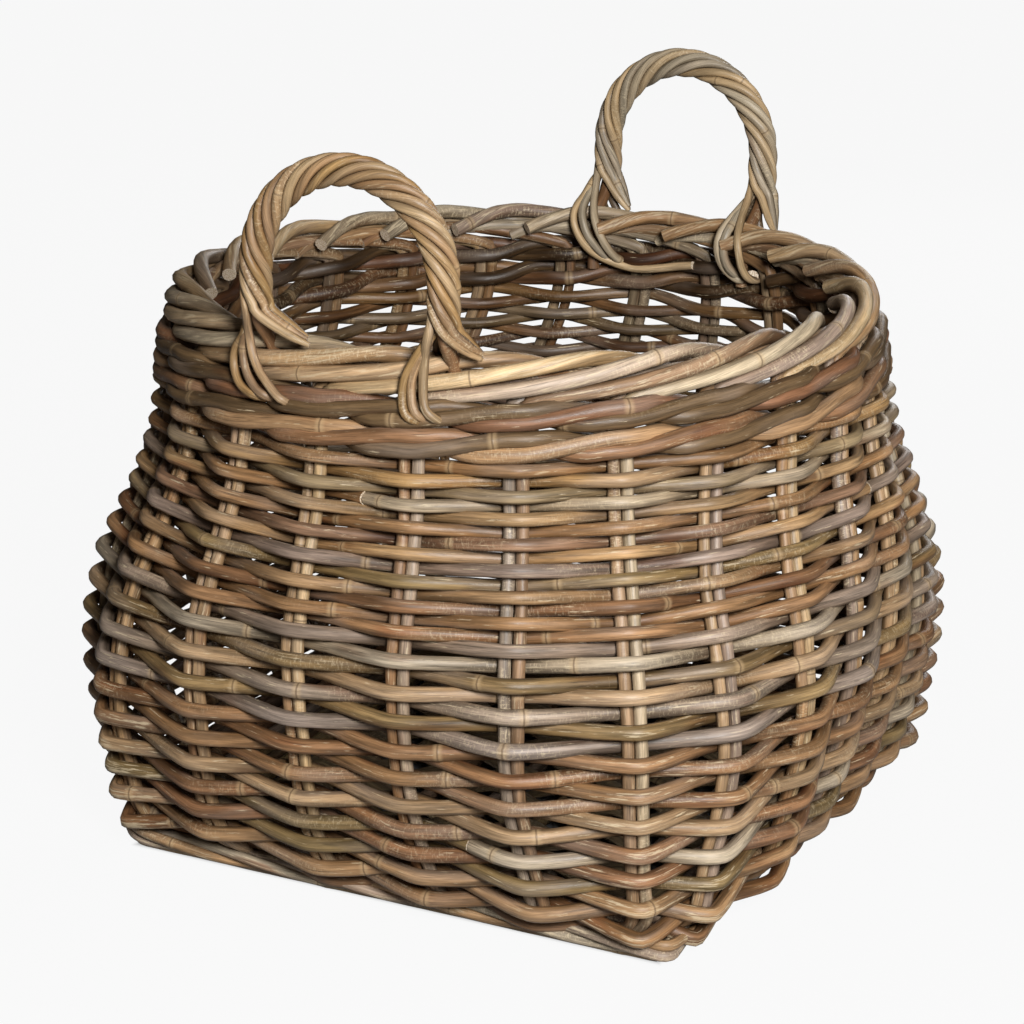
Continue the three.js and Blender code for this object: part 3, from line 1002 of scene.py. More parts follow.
@dataclass
class Wale:
    """Two rounds of three rods, each in front of two stakes and behind one, under the border."""

    weaving: Weaving
    heights: Pair = (339.8, 358.6)
    reach: int = 3
    rise: float = 4.2
    slip: float = 2.0
    beside: float = 0.42
    stands: Pair = (7.5, 4.0)
    radius: float = 5.2
    unevenness: float = 0.05
    seed: int = 910
    shades: Shades = Shades((
        (Tone.BROWN, 4), (Tone.CHESTNUT, 3), (Tone.UMBER, 3), (Tone.OLIVE, 1), (Tone.TAN, 2),
    ), gain=0.88)

    def gap(self, index: float, height: float, stand: float) -> np.ndarray:
        """Lays one row of a path between two stakes, at a height and a stand out of their line."""
        centre, _, out = self.weaving.wall.frame(index, height)
        return rows_of([centre + out * stand], out)

    def path(self, number: int, first: int, height: float, dice: random.Random) -> np.ndarray:
        """Lays a rod once round the rim: behind a stake, out low, and up over the next two.

        Args:
            number: The number of the rod in its course.
            first: The stake that it starts at.
            height: The height of the course.
            dice: The seeded source of chance.

        Returns:
            The rows of its path.
        """
        rows = []
        for m in range(first, first + self.weaving.wall.stakes + 1):
            phase = (m + number) % self.reach
            level = height + (0.0, -self.rise, self.rise)[phase]
            if phase == 1:
                rows.append(self.gap(m - self.beside, level - self.slip, self.stands[0]))
            rows.append(self.weaving.crossing(m, level, phase != 0, dice))
            if phase == 2:
                rows.append(self.gap(m + self.beside, level + self.slip, self.stands[1]))
        return np.vstack([rows[0][1:], *rows[1:-1], rows[-1][:1]])

    def build(self, shop: Workshop) -> None:
        """Lays both courses.

        Args:
            shop: The finishes.
        """
        for course, height in enumerate(self.heights):
            for number in range(self.reach):
                dice = random.Random(self.seed + 7 * course + number)
                first = (self.reach - number) % self.reach + 6 * course + self.reach * number
                path = self.path(number, first, height, dice)
                rod = Rod.drawn(f"wale_{course + 1}_{number + 1}", path, self.radius, self.shades, dice,
                                unevenness=self.unevenness)
                parts = sorted({2 * course + 1 + number // 2, 2 * course + 1 + (number + 1) // 2})
                shop.place(rod, "wale_rod", [f"wale_rod_{part}" for part in parts])
        LOG.info("wale: %d rods", len(self.heights) * self.reach)


@dataclass
class StakesAndBorder:
    """Stake pairs that stand in the wall and lie down into the border.

    Each right rod climbs along the outside of the rim over two stakes and a half, turns over its
    crown and ends inside. Each left rod fills the core of the border. The lay of both is given as
    places along the rim in stakes, distances from the axis and heights. The crown is the distance
    and height of the middle of the roll. The wall wear and painted shade are those in the wall, and
    the border's wear and painted shade are those low or hidden, and those on top or outside.
    """

    wall: Wall
    apart: float = 4.3
    radii: Pair = (4.05, 4.35)
    core_radius: float = 4.4
    border_radius: float = 5.3
    swell_height: float = 372
    low: float = 5.0
    high: float = 360
    steps: int = 26
    crown: Pair = (234.5, 381)
    top_from: float = 384
    outside_from: float = 235
    scatter: float = 0.4
    depth_scatter: float = 0.3
    lift_scatter: float = 0.6
    radius_scatter: Pair = (0.96, 1.05)
    # Painted shade: stakes are painted darker in the wall, and the border where it is low or hidden.
    wall_wear_and_painted_shade: Pair = (0.15, 0.82)
    border_wear: Pair = (0.3, 0.5)
    border_painted_shade: Pair = (0.8, 1.0)
    seed: int = 4100
    outer_lay: tuple[Triple, ...] = (
        (0.12, 238.5, 367.5), (0.45, 243, 371), (1, 245.3, 376.3), (1.6, 245, 382.4), (2.1, 242.8, 388),
        (2.5, 238.4, 392.2), (2.78, 232.8, 392.6), (3, 227.8, 390.4), (3.2, 223.4, 387),
        (3.38, 219.6, 383.6), (3.48, 217.6, 381.8),
    )
    core_lay: tuple[Triple, ...] = (
        (-0.04, 236, 366.5), (0.4, 234.5, 373), (1, 234, 379), (1.7, 234, 382), (2.4, 233, 380),
        (2.7, 232, 374),
    )
    left_shades: Shades = Shades(((Tone.TAN, 4), (Tone.ASH, 3), (Tone.LILAC, 2), (Tone.BROWN, 2)))
    right_shades: Shades = Shades((
        (Tone.SAND, 6), (Tone.TAN, 5), (Tone.ASH, 5), (Tone.LILAC, 3), (Tone.BROWN, 2),
    ), gain=1.06)

    def path(self, index: int, side: int, dice: random.Random) -> np.ndarray:
        """Lays one rod of a pair up the wall and over into the border.

        Args:
            index: The number of the stake pair.
            side: -1 for its left rod and 1 for its right one.
            dice: The seeded source of chance.

        Returns:
            The rows of its path.
        """
        rows = []
        for height in np.linspace(self.low, self.high, self.steps):
            centre, along, out = self.wall.frame(index, float(height))
            nudge = along * side * (self.apart + dice.uniform(-self.scatter, self.scatter))
            nudge += out * dice.uniform(-self.depth_scatter, self.depth_scatter)
            rows.append([*centre + nudge, *out, *self.wall_wear_and_painted_shade])
        for place, radius, height in self.outer_lay if side > 0 else self.core_lay:
            radial = ring_direction(math.radians(self.wall.rim_angle(index + place)))
            point = radial * (radius + dice.uniform(-self.scatter, self.scatter))
            point += UP * (height + dice.uniform(-self.lift_scatter, self.lift_scatter))
            out = unit(radial * (radius - self.crown[0]) + UP * (height - self.crown[1]))
            wear = self.border_wear[height > self.top_from]
            # The border is painted darker except on the outside of the right rods, as painted shade.
            shade = self.border_painted_shade[side > 0 and radius > self.outside_from]
            rows.append([*point, *out, wear, shade])
        return np.array(rows)

    def build(self, shop: Workshop) -> None:
        """Builds both rods of every pair.

        Args:
            shop: The finishes.
        """
        kinds = (
            ("left", -1, self.radii[0], self.core_radius, self.left_shades),
            ("right", 1, self.radii[1], self.border_radius, self.right_shades),
        )
        for index in range(self.wall.stakes):
            dice = random.Random(self.seed + index)
            for letter, side, low, high, shades in kinds:
                path = self.path(index, side, dice)
                radius = low * dice.uniform(*self.radius_scatter)
                rod = Rod.drawn(f"stake_{index + 1:02d}_{letter}", path, radius, shades, dice, rounds=2,
                                step=5.0, swell=(high / low, self.swell_height))
                shop.place(rod, "stake_rod", [f"stake_pair_{index + 1:02d}"])
        LOG.info("stakes and border: %d pairs", self.wall.stakes)


@dataclass
class Foot:
    """A rod on the floor and three strands twisted over it, round the square foot.

    The lay is how far strands stray up and down the slope of the twist and off it, the lean that
    slope in radians, and the strand wear and painted shade are a strand's wear and its painted shade.
    """

    floor_halves: Pair = (203.5, 204.5)
    floor_height: float = 5.0
    floor_corners: tuple[float, ...] = (6, 8, 10, 2)
    floor_radius: float = 4.4
    floor_start: int = 40
    middle_halves: Pair = (212.5, 212.5)
    middle_height: float = 13.2
    middle_shift: float = 1.2
    middle_corners: tuple[float, ...] = (24, 30, 30, 5)
    lay: Pair = (5.8, 3.8)
    lean: float = 0.62
    radius: float = 3.8
    strands: int = 3
    twists: int = 8
    floor_wear: float = 0.45
    # Painted shade: the strands are painted a little darker.
    strand_wear_and_painted_shade: Pair = (0.35, 0.95)
    seeds: tuple[int, int] = (5290, 5300)
    shades: Shades = Shades(((Tone.LILAC, 4), (Tone.ASH, 2), (Tone.TAN, 3), (Tone.BROWN, 2)))

    def strand(self, number: int) -> np.ndarray:
        """Twists one strand once round the foot.

        Args:
            number: The number of the strand.

        Returns:
            The rows of its path.
        """
        places, ways = rounded_square(self.middle_halves, self.middle_corners)
        run = run_along(np.vstack([places, places[:1]]))
        slope = np.array([math.cos(self.lean), math.sin(self.lean)])
        begin = number * len(places) // self.strands
        rows = []
        for step in range(len(places) + 3):
            i = (begin + step) % len(places)
            turn = -2 * math.pi * (run[i] / run[-1] * self.twists + number / self.strands)
            up_slope, off_slope = self.lay[0] * math.sin(turn), self.lay[1] * math.cos(turn)
            reach, lift = up_slope * slope + off_slope * np.array([slope[1], -slope[0]])
            raised = np.array([self.middle_shift, 0, self.middle_height + lift])
            rows.append([*places[i] + ways[i] * reach + raised, *ways[i], *self.strand_wear_and_painted_shade])
        return np.array(rows)

    def build(self, shop: Workshop) -> None:
        """Lays the floor rod and twists the strands over it.

        Args:
            shop: The finishes.
        """
        places, ways = rounded_square(self.floor_halves, self.floor_corners)
        order = (np.arange(len(places) + 1) + self.floor_start) % len(places)
        path = rows_of(places[order] + UP * self.floor_height, ways[order], self.floor_wear)
        dice = random.Random(self.seeds[0])
        rod = Rod.drawn("foot_floor_rod", path, self.floor_radius, self.shades, dice, rounds=1)
        shop.place(rod, "foot_rod", ["foot_rod_1"])
        for number in range(self.strands):
            rod = Rod.drawn(f"foot_strand_{number + 1}", self.strand(number), self.radius, self.shades,
                            random.Random(self.seeds[1] + number), rounds=1)
            shop.place(rod, "foot_rod", ["foot_rod_2" if number < 1 else "foot_rod_3"])
        LOG.info("foot: a floor rod and %d strands", self.strands)


@dataclass
class BaseMat:
    """The base: four frame rods, sticks across them and one flat cane woven to and fro.

    The packing gives, for each rod between the frame and the wall, half its width, its height and
    the radius of its corners.
    """

    frame_half: float = 172
    frame_radius: float = 5.6
    frame_overlap: float = 1.02
    height: float = 12
    sticks: int = 7
    pitch: float = 47
    stick_radius: float = 5
    stick_gap: float = 0.5
    line_points: int = 9
    cane_rows: int = 19
    cane_pitch: float = 17
    cane_half_width: float = 8.6
    cane_half_thickness: float = 2.2
    cane_lift: float = 7.4
    cane_end: float = 149
    cane_turn: float = 157.96
    cane_tilt: float = 0.7
    cane_end_lift: float = 0.55
    cane_hold: float = 5
    packing: tuple[Triple, ...] = (
        (182.8, 13.5, 16), (192.6, 15.6, 20), (202, 19, 26), (209, 26, 34), (215.5, 33.5, 42),
    )
    packing_radius: float = 5.2
    packing_starts: tuple[int, int] = (7, 31)
    # Painted shade: the packing rods between the frame and the wall are painted darker.
    packing_painted_shade: float = 0.7
    seed: int = 88
    shades: Shades = Shades(((Tone.BROWN, 3), (Tone.OLIVE, 2), (Tone.UMBER, 1), (Tone.LILAC, 2)))

    def line(self, start: np.ndarray, end: np.ndarray) -> np.ndarray:
        """Lays the rows of a straight rod."""
        return rows_of(np.linspace(start, end, self.line_points), UP)

    def build(self, shop: Workshop) -> None:
        """Builds the frame, the rods packed between it and the wall, the sticks and the cane.

        Args:
            shop: The finishes.
        """
        rods = []
        for side in range(4):
            turn = math.radians(90 * side)
            middle = ring_direction(turn) * self.frame_half + UP * self.height
            reach = ring_direction(turn + math.pi / 2) * self.frame_overlap * self.frame_half
            path = self.line(middle - reach, middle + reach)
            rods.append((f"base_frame_rod_{side + 1}", path, self.frame_radius, "base_frame",
                         {"step": 8}))
        for number, (half, height, corner_radius) in enumerate(self.packing):
            places, _ = rounded_square((half, half), (corner_radius,) * 4)
            start = self.packing_starts[0] + self.packing_starts[1] * number
            order = (np.arange(len(places) + 1) + start) % len(places)
            path = rows_of(places[order] + UP * height, UP, 0.0, self.packing_painted_shade)
            rods.append((f"base_packing_{number + 1}", path, self.packing_radius, "base_frame",
                         {"rounds": 1, "step": 8}))
        first = -self.pitch * (self.sticks - 1) / 2
        reach = self.frame_half - self.frame_radius - self.stick_gap
        for number in range(self.sticks):
            across = first + number * self.pitch
            ends = (np.array([across, side * reach, self.height]) for side in (-1, 1))
            rods.append((f"base_crossing_{number + 1}", self.line(*ends), self.stick_radius,
                         f"base_stick_{number + 1}", {"step": 8}))
        flat = self.cane_half_thickness / self.cane_half_width
        rods.append(("base_flat_cane", self.cane_path(first), self.cane_half_width, "base_cane",
                     {"flatten": flat, "sides": 12, "step": 5}))
        dice = random.Random(self.seed)
        for name, path, radius, node, dress in rods:
            shop.place(Rod.drawn(name, path, radius, self.shades, dice, **dress), "base_rod", [node])
        LOG.info("base: %d sticks and the cane", self.sticks)

    def cane_path(self, first: float) -> np.ndarray:
        """Lays the cane over and under the sticks and back again.

        Args:
            first: Where the first stick lies.

        Returns:
            The rows of its path.
        """
        points, ways = [], []
        for row in range(self.cane_rows):
            across = (row - (self.cane_rows - 1) / 2) * self.cane_pitch
            heading = 1 if row % 2 == 0 else -1
            lifts = [1 if (stick + row * self.sticks) % 2 == 0 else -1 for stick in range(self.sticks)]
            stops = [(-self.cane_end, self.cane_end_lift * lifts[0])]
            stops += [(first + stick * self.pitch, lifts[stick]) for stick in range(self.sticks)]
            stops.append((self.cane_end, self.cane_end_lift * lifts[-1]))
            for place, lift in stops:
                level = self.height + self.cane_lift * lift
                for nudge in (-self.cane_hold, self.cane_hold):
                    points.append([(place + nudge) * heading, across, level])
                    ways.append(UP)
            if row < self.cane_rows - 1:
                for share in (0.25, 0.75):
                    further = across + self.cane_pitch * share
                    points.append([self.cane_turn * heading, further, self.height])
                    ways.append(unit(UP + np.array([self.cane_tilt * heading, 0, 0])))
        return rows_of(points, ways)


@dataclass
class Handle:
    """A bow wrapped in twisted strands that fork at both feet.

    At each foot three strands go on as lashings, down one face of the border, under it and up the
    other. The rest lie away over the border in a bundle. The west foot is the one towards -X, and
    lashings start on that side of each leg. Their loops are given as distances from the leg to
    that side and heights, the tips of the bundles as distances to the other side and heights, and
    the two faces of the border as heights and distances from the axis of the basket. On the way
    back a lashing is shifted sideways, up and off the face at its first and second place and at all
    others. The underside is the height and distance from the axis where it turns back.
    """

    name: str
    angle: float
    lashing_side: int
    west_loops: tuple[tuple[Pair, ...], ...]
    east_loops: tuple[tuple[Pair, ...], ...]
    tips: tuple[Pair, Pair]
    lead: float
    strand_radius: float
    long_end: tuple[Pair, ...] = ()
    half_width: float = 66.3
    spring: float = 443.7
    plane: float = 249
    leg: tuple[Triple, ...] = (
        (348, 226, 4.5), (366, 226, 4.5), (380, 227, 4), (390, 231, 2.5), (397, 237, 1.5),
        (405, 245, 0.5), (412, 249, 0),
    )
    fork: float = 421
    strands: int = 7
    lashings: int = 3
    first_turn: float = -100
    wrap_lay: float = 7.8
    core_radius: float = 4.6
    tip_radius: float = 248
    tail_height: float = 416
    tail_start: Pair = (3, 6)
    tail_spread: float = 5
    tail_depth: float = 3
    tail_lift: float = 3.5
    tail_sag: Pair = (7, 9)
    underside: Pair = (354, 240)
    start_stand: float = 6
    long_stand: float = 2
    return_shifts: tuple[Triple, ...] = ((-5, 4, 4), (-2, 2, 0), (-1, 1, 0))
    outer_face: tuple[Pair, ...] = (
        (350, 260), (356, 258.5), (362, 257.5), (368, 256), (376, 254.2), (386, 253.8), (396, 253),
        (403, 257), (410, 262), (418, 265),
    )
    inner_face: tuple[Pair, ...] = (
        (350, 228), (358, 228), (362, 223), (368, 218.5), (376, 216.3), (386, 217), (393, 220.5),
        (399, 229), (406, 240), (418, 251),
    )
    leg_points: int = 6
    arch_points: int = 49
    bow_points: int = 25
    wrap_wear: float = 0.12
    lashing_wear: float = 0.15
    end_wear: float = 0.2
    end_taper: float = 0.55
    # Painted shade: the side of each strand facing the core is painted much darker, into the grooves.
    inner_shade: float = 0.25
    joint_pitch: Pair = (160, 360)
    radius_scatter: Pair = (0.96, 1.06)
    unevenness: float = 0.05
    seed: int = 6200
    shades: Shades = Shades((
        (Tone.SAND, 2), (Tone.TAN, 7), (Tone.HONEY, 2), (Tone.BROWN, 1),
    ), 0.08, 0.75)

    def axes(self) -> tuple[np.ndarray, np.ndarray]:
        """Returns the way out at the handle and the direction along the rim."""
        angle = math.radians(self.angle)
        return ring_direction(angle), ring_direction(angle + math.pi / 2)

    def at(self, side: float, height: float, out: float) -> np.ndarray:
        """Returns the place at a distance sideways, a height and a distance out."""
        radial, along = self.axes()
        return radial * out + along * side + UP * height

    def by_leg(self, foot: int, west: float, height: float, radius: float) -> np.ndarray:
        """Returns the place at a distance west of a leg, a height and a distance from the axis."""
        side = foot * self.half_width + self.lashing_side * west
        return self.at(side, height, math.sqrt(radius**2 - side**2))

    def spine(self) -> tuple[np.ndarray, np.ndarray]:
        """Lays the middle line of the wrap.

        Returns:
            Its places, and the direction across the bow at each.
        """
        _, along = self.axes()
        leg = np.linspace(self.fork, self.spring, self.leg_points)[:-1]
        places = [(-1.0, 0.0, height) for height in leg]
        for angle in np.linspace(math.pi, 0, self.arch_points):
            rise = math.sin(angle)
            places.append((math.cos(angle), rise, self.spring + self.half_width * rise))
        places += [(1.0, 0.0, height) for height in leg[::-1]]
        centre = [self.at(self.half_width * side, height, self.plane) for side, _, height in places]
        return np.array(centre), np.array([along * side + UP * rise for side, rise, _ in places])

    def bow(self) -> np.ndarray:
        """Lays the bow inside the wrap, with its legs down behind the border.

        Returns:
            The rows of its path.
        """
        radial, _ = self.axes()
        arch = []
        for angle in np.linspace(math.pi, 0, self.bow_points):
            side, rise = self.half_width * math.cos(angle), self.half_width * math.sin(angle)
            arch.append(self.at(side, self.spring + rise, self.plane))
        legs = {}
        for foot in (-1, 1):
            drift = 0 if foot == self.lashing_side else self.lashing_side
            legs[foot] = [self.at(foot * self.half_width + drift * west, height, out)
                          for height, out, west in self.leg]
        return rows_of([*legs[-1], *arch, *legs[1][::-1]], radial)

    def lashing(self, foot: int, number: int) -> np.ndarray:
        """Bends one strand from its leg round the border.

        Args:
            foot: -1 for the left leg and 1 for the right one.
            number: The number of the lashing, from the outermost.

        Returns:
            The rows of its path, from the leg on.
        """
        radial, _ = self.axes()
        face = -self.lashing_side
        west = foot == self.lashing_side
        loop = (self.west_loops if west else self.east_loops)[number]
        down = [(*loop[0], face, -self.start_stand * face if number < 2 else 0.0)]
        down += [(side, height, face, 0.0) for side, height in loop[1:]]
        up = []
        for place in reversed(range(len(loop))):
            sideways, lift, stand = self.return_shifts[min(place, 2)]
            up.append((loop[place][0] + sideways, loop[place][1] + lift, -face, stand * face))
        long_one = west and number == 0 and len(self.long_end) > 0
        if long_one:
            down += [(side, height, face, self.long_stand) for side, height in self.long_end]
        faces = {1: np.array(self.outer_face), -1: np.array(self.inner_face)}
        rows = []
        for side, height, which, stand in down if long_one else down + up:
            radius = float(np.interp(height, *faces[which].T)) + stand
            rows.append([*self.by_leg(foot, side, height, radius), *radial * which])
        if not long_one:
            under = [*self.by_leg(foot, loop[-1][0] - 2, *self.underside), *-UP]
            rows.insert(len(down), under)
        lines = np.array(rows)
        return rows_of(lines[:, :3], lines[:, 3:], self.end_wear if long_one else self.lashing_wear)

    def tail(self, foot: int, share: float, dice: random.Random) -> np.ndarray:
        """Lays the end of a wrap strand down to the outer edge of the border.

        Args:
            foot: -1 for the left leg and 1 for the right one.
            share: Its place in the bundle, from 0 on the near face to 1 on the far one.
            dice: The seeded source of chance.

        Returns:
            The rows of its path, from the leg on.
        """
        radial, _ = self.axes()
        face = -self.lashing_side
        swing, bulge = math.cos(math.pi * share), math.sin(math.pi * share)
        reach, height = self.tips[0 if foot == self.lashing_side else 1]
        side = foot * self.half_width + face * (self.tail_start[0] + self.tail_start[1] * bulge)
        start = self.at(side, self.tail_height, self.plane + face * self.wrap_lay * swing)
        west = self.tail_spread * share - reach - dice.uniform(-1, 1)
        tip = self.by_leg(foot, west, height + self.tail_lift * bulge,
                          self.tip_radius + self.tail_depth * swing * face)
        sag = UP * (self.tail_sag[0] - self.tail_sag[1] * share)
        points = [start + (tip - start) * step + sag * step * (step - 1)
                  for step in (0, 0.25, 0.5, 0.75, 1)]
        return rows_of(points, radial * face, self.end_wear)

    def ends(self, foot: int, away: np.ndarray,
             dice: random.Random) -> dict[int, tuple[str, np.ndarray]]:
        """Sends every strand on its way at one foot.

        Args:
            foot: -1 for the left leg and 1 for the right one.
            away: How each strand stands off the middle line at the fork.
            dice: The seeded source of chance.

        Returns:
            For each strand the kind of its end, and the rows from the leg on.
        """
        radial, along = self.axes()
        out, west = away @ radial * -self.lashing_side, away @ along * self.lashing_side
        turns = np.degrees(np.arctan2(out, west))
        ways = {}
        for place, strand in enumerate(np.argsort((turns - self.first_turn) % 360).tolist()):
            if place < self.lashings:
                ways[strand] = ("lashing", self.lashing(foot, place))
            else:
                share = (place - self.lashings) / (self.strands - self.lashings - 1)
                ways[strand] = ("tail", self.tail(foot, share, dice))
        return ways

    def build(self, shop: Workshop) -> None:
        """Builds the bow and the strands from end to end.

        Args:
            shop: The finishes.
        """
        dice = random.Random(self.seed + round(self.angle))
        radial, _ = self.axes()
        prefix = f"handle_{self.name}"
        bow = Rod(f"{prefix}_core", self.bow(), self.core_radius, Tone.BROWN.linear(),
                  dice.randrange(SEEDS), step=3.0)
        shop.place(bow, "handle_rod", [f"{prefix}_bow"])
        centre, across = self.spine()
        first_turns = np.arange(self.strands)[:, None] / self.strands
        turn = 2 * math.pi * (run_along(centre)[None, :] / self.lead + first_turns)
        away = across[None] * np.cos(turn)[..., None] + radial * np.sin(turn)[..., None]
        left = self.ends(-1, away[:, 0], dice)
        right = self.ends(1, away[:, -1], dice)
        for strand in range(self.strands):
            helix = rows_of(centre + away[strand] * self.wrap_lay, away[strand], self.wrap_wear)
            (left_kind, start), (right_kind, end) = left[strand], right[strand]
            kinds = {"left": left_kind, "right": right_kind}
            radius = self.strand_radius * dice.uniform(*self.radius_scatter)
            taper = tuple(self.end_taper if kind == "tail" else 1.0 for kind in kinds.values())
            path = np.vstack([start[::-1], helix, end])
            rod = Rod.drawn(f"{prefix}_strand_{strand + 1}", path, radius, self.shades, dice, step=3.0,
                            rounds=2, unevenness=self.unevenness, joint_pitch=self.joint_pitch,
                            inner_shade=self.inner_shade, taper=taper)
            lashed = [f"{prefix}_lashing_{side}" for side, kind in kinds.items() if kind == "lashing"]
            shop.place(rod, "handle_rod", [f"{prefix}_wrap", *lashed])
        LOG.info("handle %s: bow and %d strands", self.name, self.strands)


def near_handle() -> Handle:
    """Returns the handle towards the camera."""
    west = (
        ((7, 411), (11, 402), (17.6, 393), (24, 386), (25.8, 377), (23, 369), (18, 363), (10.5, 360),
         (2, 358.5)),
        ((7.5, 410), (12, 400), (16.5, 390), (16.8, 382), (14, 373), (7.7, 366), (2, 362), (-6, 359.5)),
        ((5, 414), (9.5, 403), (10.7, 394), (8.6, 385), (3.4, 375.5), (-5.7, 368), (-14, 362),
         (-20, 359)),
    )
    east = (
        ((8, 412), (16, 401.6), (22, 393), (26.5, 384), (28, 376), (27.4, 367), (25, 360.5),
         (19, 357.5)),
        ((8.5, 411), (14, 401), (19, 393), (22, 384), (22.5, 375), (20.3, 364), (15, 359)),
        ((6.5, 415), (10, 407), (14.5, 396), (15, 383), (14.2, 369.5), (12, 363.5), (6, 359)),
    )
    tips = ((37, 396.5), (20, 396.7))
    return Handle("near", -88.5, -1, west, east, tips, lead=-88, strand_radius=3.05)


def far_handle() -> Handle:
    """Returns the far, greyer handle, which has one long loose end inside the rim."""
    west = (
        ((8.3, 418), (8, 405), (9.6, 397), (7.2, 389), (3.2, 379), (-2.5, 368), (-8, 359.5)),
        ((7, 412), (5.6, 404), (4.2, 397), (0.2, 389), (-4.4, 378), (-9.8, 368.5), (-15, 357.5)),
        ((5, 417), (2, 408), (-2, 400), (-9, 388.7), (-15, 376.7), (-19.4, 365.5), (-24, 356.5)),
    )
    east = (
        ((7, 414), (9.3, 407.8), (14, 398), (18, 388), (18.3, 376), (16, 364), (11, 356.5), (3, 353.5)),
        ((7.5, 411), (9, 404), (9.7, 396.5), (12, 388.7), (12.8, 377), (11, 365), (6, 357)),
        ((6.5, 413), (6, 405), (2.6, 397), (0.2, 388.5), (-2.7, 377), (-3.8, 364), (-7, 356)),
    )
    tips = ((24, 393), (22, 389.5))
    long_end = ((-28, 351.5), (-42, 350.8), (-58, 353.5), (-72, 356.5), (-86, 359))
    grey = Shades(((Tone.ASH, 6), (Tone.SAND, 3), (Tone.LILAC, 1)), 0.05, 0.93)
    return Handle("far", 86.9, 1, west, east, tips, lead=-107, strand_radius=3.15, long_end=long_end,
                  shades=grey)


@dataclass(frozen=True)
class Lamp:
    """A round soft lamp, with its power in watts."""

    name: str
    place: Triple
    size: float
    power: float


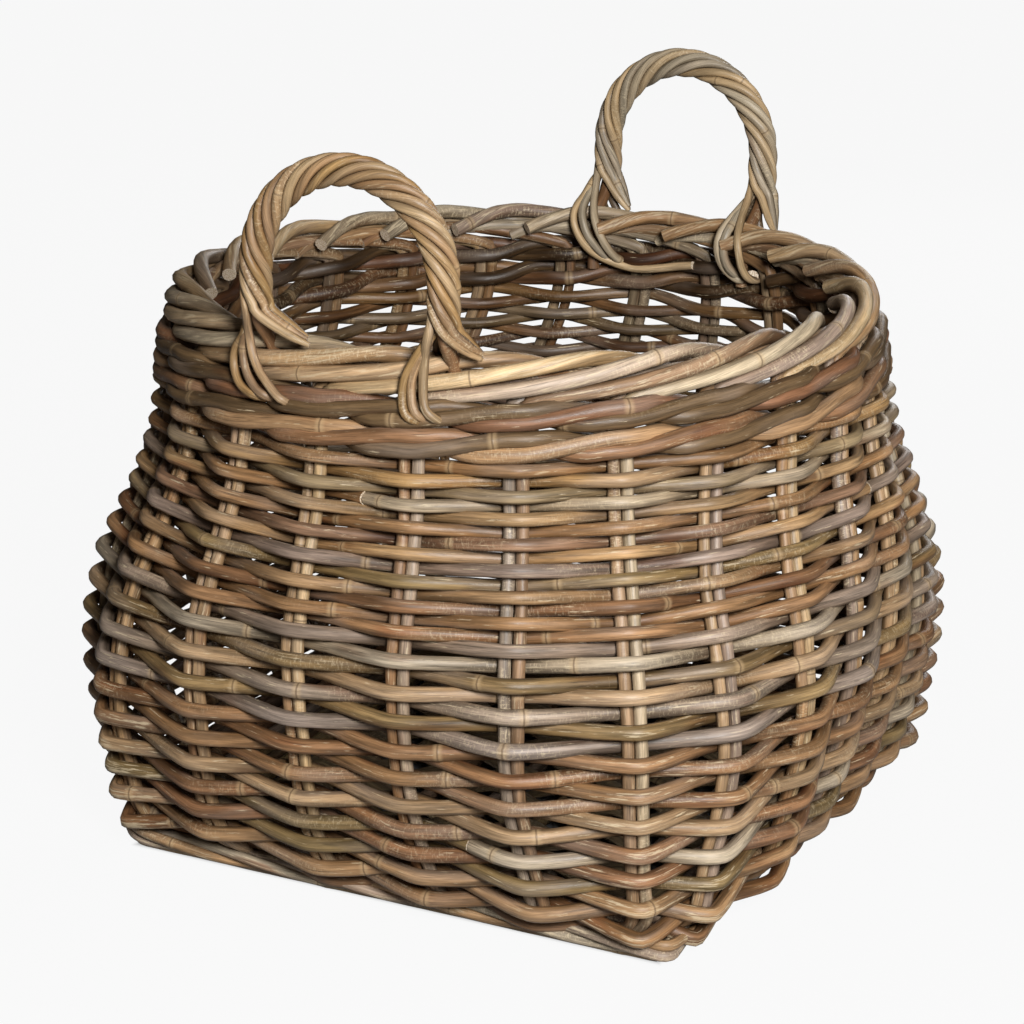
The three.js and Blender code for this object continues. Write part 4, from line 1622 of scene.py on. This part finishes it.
@dataclass
class Studio:
    """A pale floor, plain soft light and the camera at the photograph's angle."""

    target: Triple = (7.6, -29.5, 229.1)
    distance: float = 2000
    turn: float = 27.21
    tilt: float = 17.49
    focal_pixels: float = 2827.9
    frame_pixels: float = 1024
    sensor: float = 36
    world_colour: tuple[float, ...] = (1.0, 0.85, 0.68, 1.0)
    world_strength: float = 0.05
    floor_grey: float = 0.3
    floor_glow: float = 0.93
    floor_half: float = 6000
    floor_drop: float = 0.6
    # Painted shadow: the floor's glow is turned off within these halves, under the foot.
    painted_shadow_half: Pair = (196, 208)
    lamps: tuple[Lamp, ...] = (
        Lamp("key_lamp", (1250, -1580, 1180), 520, 66),
        Lamp("side_lamp", (2300, 250, 900), 900, 2),
        Lamp("back_lamp", (-300, 2200, 1000), 900, 10),
    )

    def aim(self, made: bpy.types.Object, place: np.ndarray) -> None:
        """Sets a camera or lamp at a place and turns it to the target."""
        made.location = Vector(place * MM)
        made.rotation_euler = Vector(np.array(self.target) - place).to_track_quat("-Z", "Y").to_euler()

    def add_camera(self) -> None:
        """Sets the camera where the photograph was taken from."""
        data = bpy.data.cameras.new("camera")
        data.sensor_width = self.sensor
        data.lens = self.focal_pixels / self.frame_pixels * self.sensor
        data.clip_end = 50
        camera = add_object("camera", data)
        tilt = math.radians(self.tilt)
        level = ring_direction(math.radians(self.turn - 90)) * math.cos(tilt)
        self.aim(camera, np.array(self.target) + (level + UP * math.sin(tilt)) * self.distance)
        bpy.context.scene.camera = camera

    def add_lamps(self) -> None:
        """Hangs the soft lamps."""
        for lamp in self.lamps:
            data = bpy.data.lights.new(lamp.name, "AREA")
            data.shape = "DISK"
            data.size = lamp.size * MM
            data.energy = lamp.power
            self.aim(add_object(lamp.name, data), np.array(lamp.place))

    def add_world(self) -> None:
        """Lights the room evenly and shows it white."""
        sheet = NodeSheet(bpy.data.worlds.new("room"))
        inputs = {0: sheet.node("ShaderNodeLightPath").outputs["Is Camera Ray"]}
        for socket, colour, strength in ((1, self.world_colour, self.world_strength), (2, WHITE, 1.0)):
            light = sheet.node("ShaderNodeBackground", {"Color": colour, "Strength": strength})
            inputs[socket] = light.outputs[0]
        mix = sheet.node("ShaderNodeMixShader", inputs)
        bpy.context.scene.world = sheet.finish(mix.outputs[0], "ShaderNodeOutputWorld")

    def add_floor(self) -> None:
        """Lays a pale floor that shows almost white, keeps a soft shadow and has a painted shadow under
        the foot.
        """
        sheet = NodeSheet(bpy.data.materials.new("pale_floor"))
        seen = sheet.node("ShaderNodeLightPath").outputs["Is Camera Ray"]
        matt = sheet.node("ShaderNodeBsdfDiffuse", {"Color": (*(self.floor_grey,) * 3, 1.0)})
        glow = sheet.node("ShaderNodeEmission", {"Color": WHITE, "Strength": 1.0})
        place = sheet.node("ShaderNodeNewGeometry").outputs["Position"]
        place = sheet.node("ShaderNodeSeparateXYZ", {0: place})
        reach = sheet.maths("MAXIMUM", *(sheet.maths("ABSOLUTE", place.outputs[axis]) for axis in "XY"))
        # Painted shadow: no glow under the foot, so the floor shows dark there.
        glow_outside_painted_shadow = sheet.span(reach, *(half * MM for half in self.painted_shadow_half), 0.0, self.floor_glow)
        share = sheet.maths("MULTIPLY", seen, glow_outside_painted_shadow)
        mix = sheet.node("ShaderNodeMixShader", {0: share, 1: matt.outputs[0], 2: glow.outputs[0]})
        mesh = bpy.data.meshes.new("floor")
        corners = [(x * self.floor_half * MM, y * self.floor_half * MM, -self.floor_drop * MM)
                   for x, y in ((-1, -1), (1, -1), (1, 1), (-1, 1))]
        mesh.from_pydata(corners, [], [(0, 1, 2, 3)])
        mesh.materials.append(sheet.finish(mix.outputs[0]))
        floor = add_object("floor", mesh)

    def build(self) -> None:
        """Builds the whole studio."""
        bpy.context.scene.view_settings.view_transform = "Standard"
        self.add_camera()
        self.add_lamps()
        self.add_world()
        self.add_floor()
        LOG.info("studio ready")


def main() -> None:
    """Builds the basket piece by piece over the frame."""
    logging.basicConfig(level=logging.INFO, format="%(name)s: %(message)s")
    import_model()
    Studio().build()
    shop = Workshop({
        "stake_rod": RattanFinish("pale_rattan", scuffs=0.5, scuff_from=0.6, scales=0.5, stains=0.4),
        "weaver_rod": RattanFinish("brown_rattan", streaks=0.48, scuff_from=0.6, scratches=0.55),
        "wale_rod": RattanFinish("tan_rattan"),
        "foot_rod": RattanFinish("grey_rattan", scales=0.5, stains=0.6),
        "base_rod": RattanFinish("dull_rattan", roughness=(0.6, 0.8), scuffs=0.4),
        "handle_rod": RattanFinish("handle_rattan", streaks=0.32, stains=0.3, scuffs=0.5, scales=0.45,
                                   rings=0.6),
    })
    wall = Wall()
    weaving = Weaving(wall)
    for section in (StakesAndBorder(wall), PlainWeave(weaving), Wale(weaving), Foot(), BaseMat(),
                    near_handle(), far_handle()):
        section.build(shop)
    LOG.info("%d rods in all", shop.count)


if __name__ == "__main__":
    main()
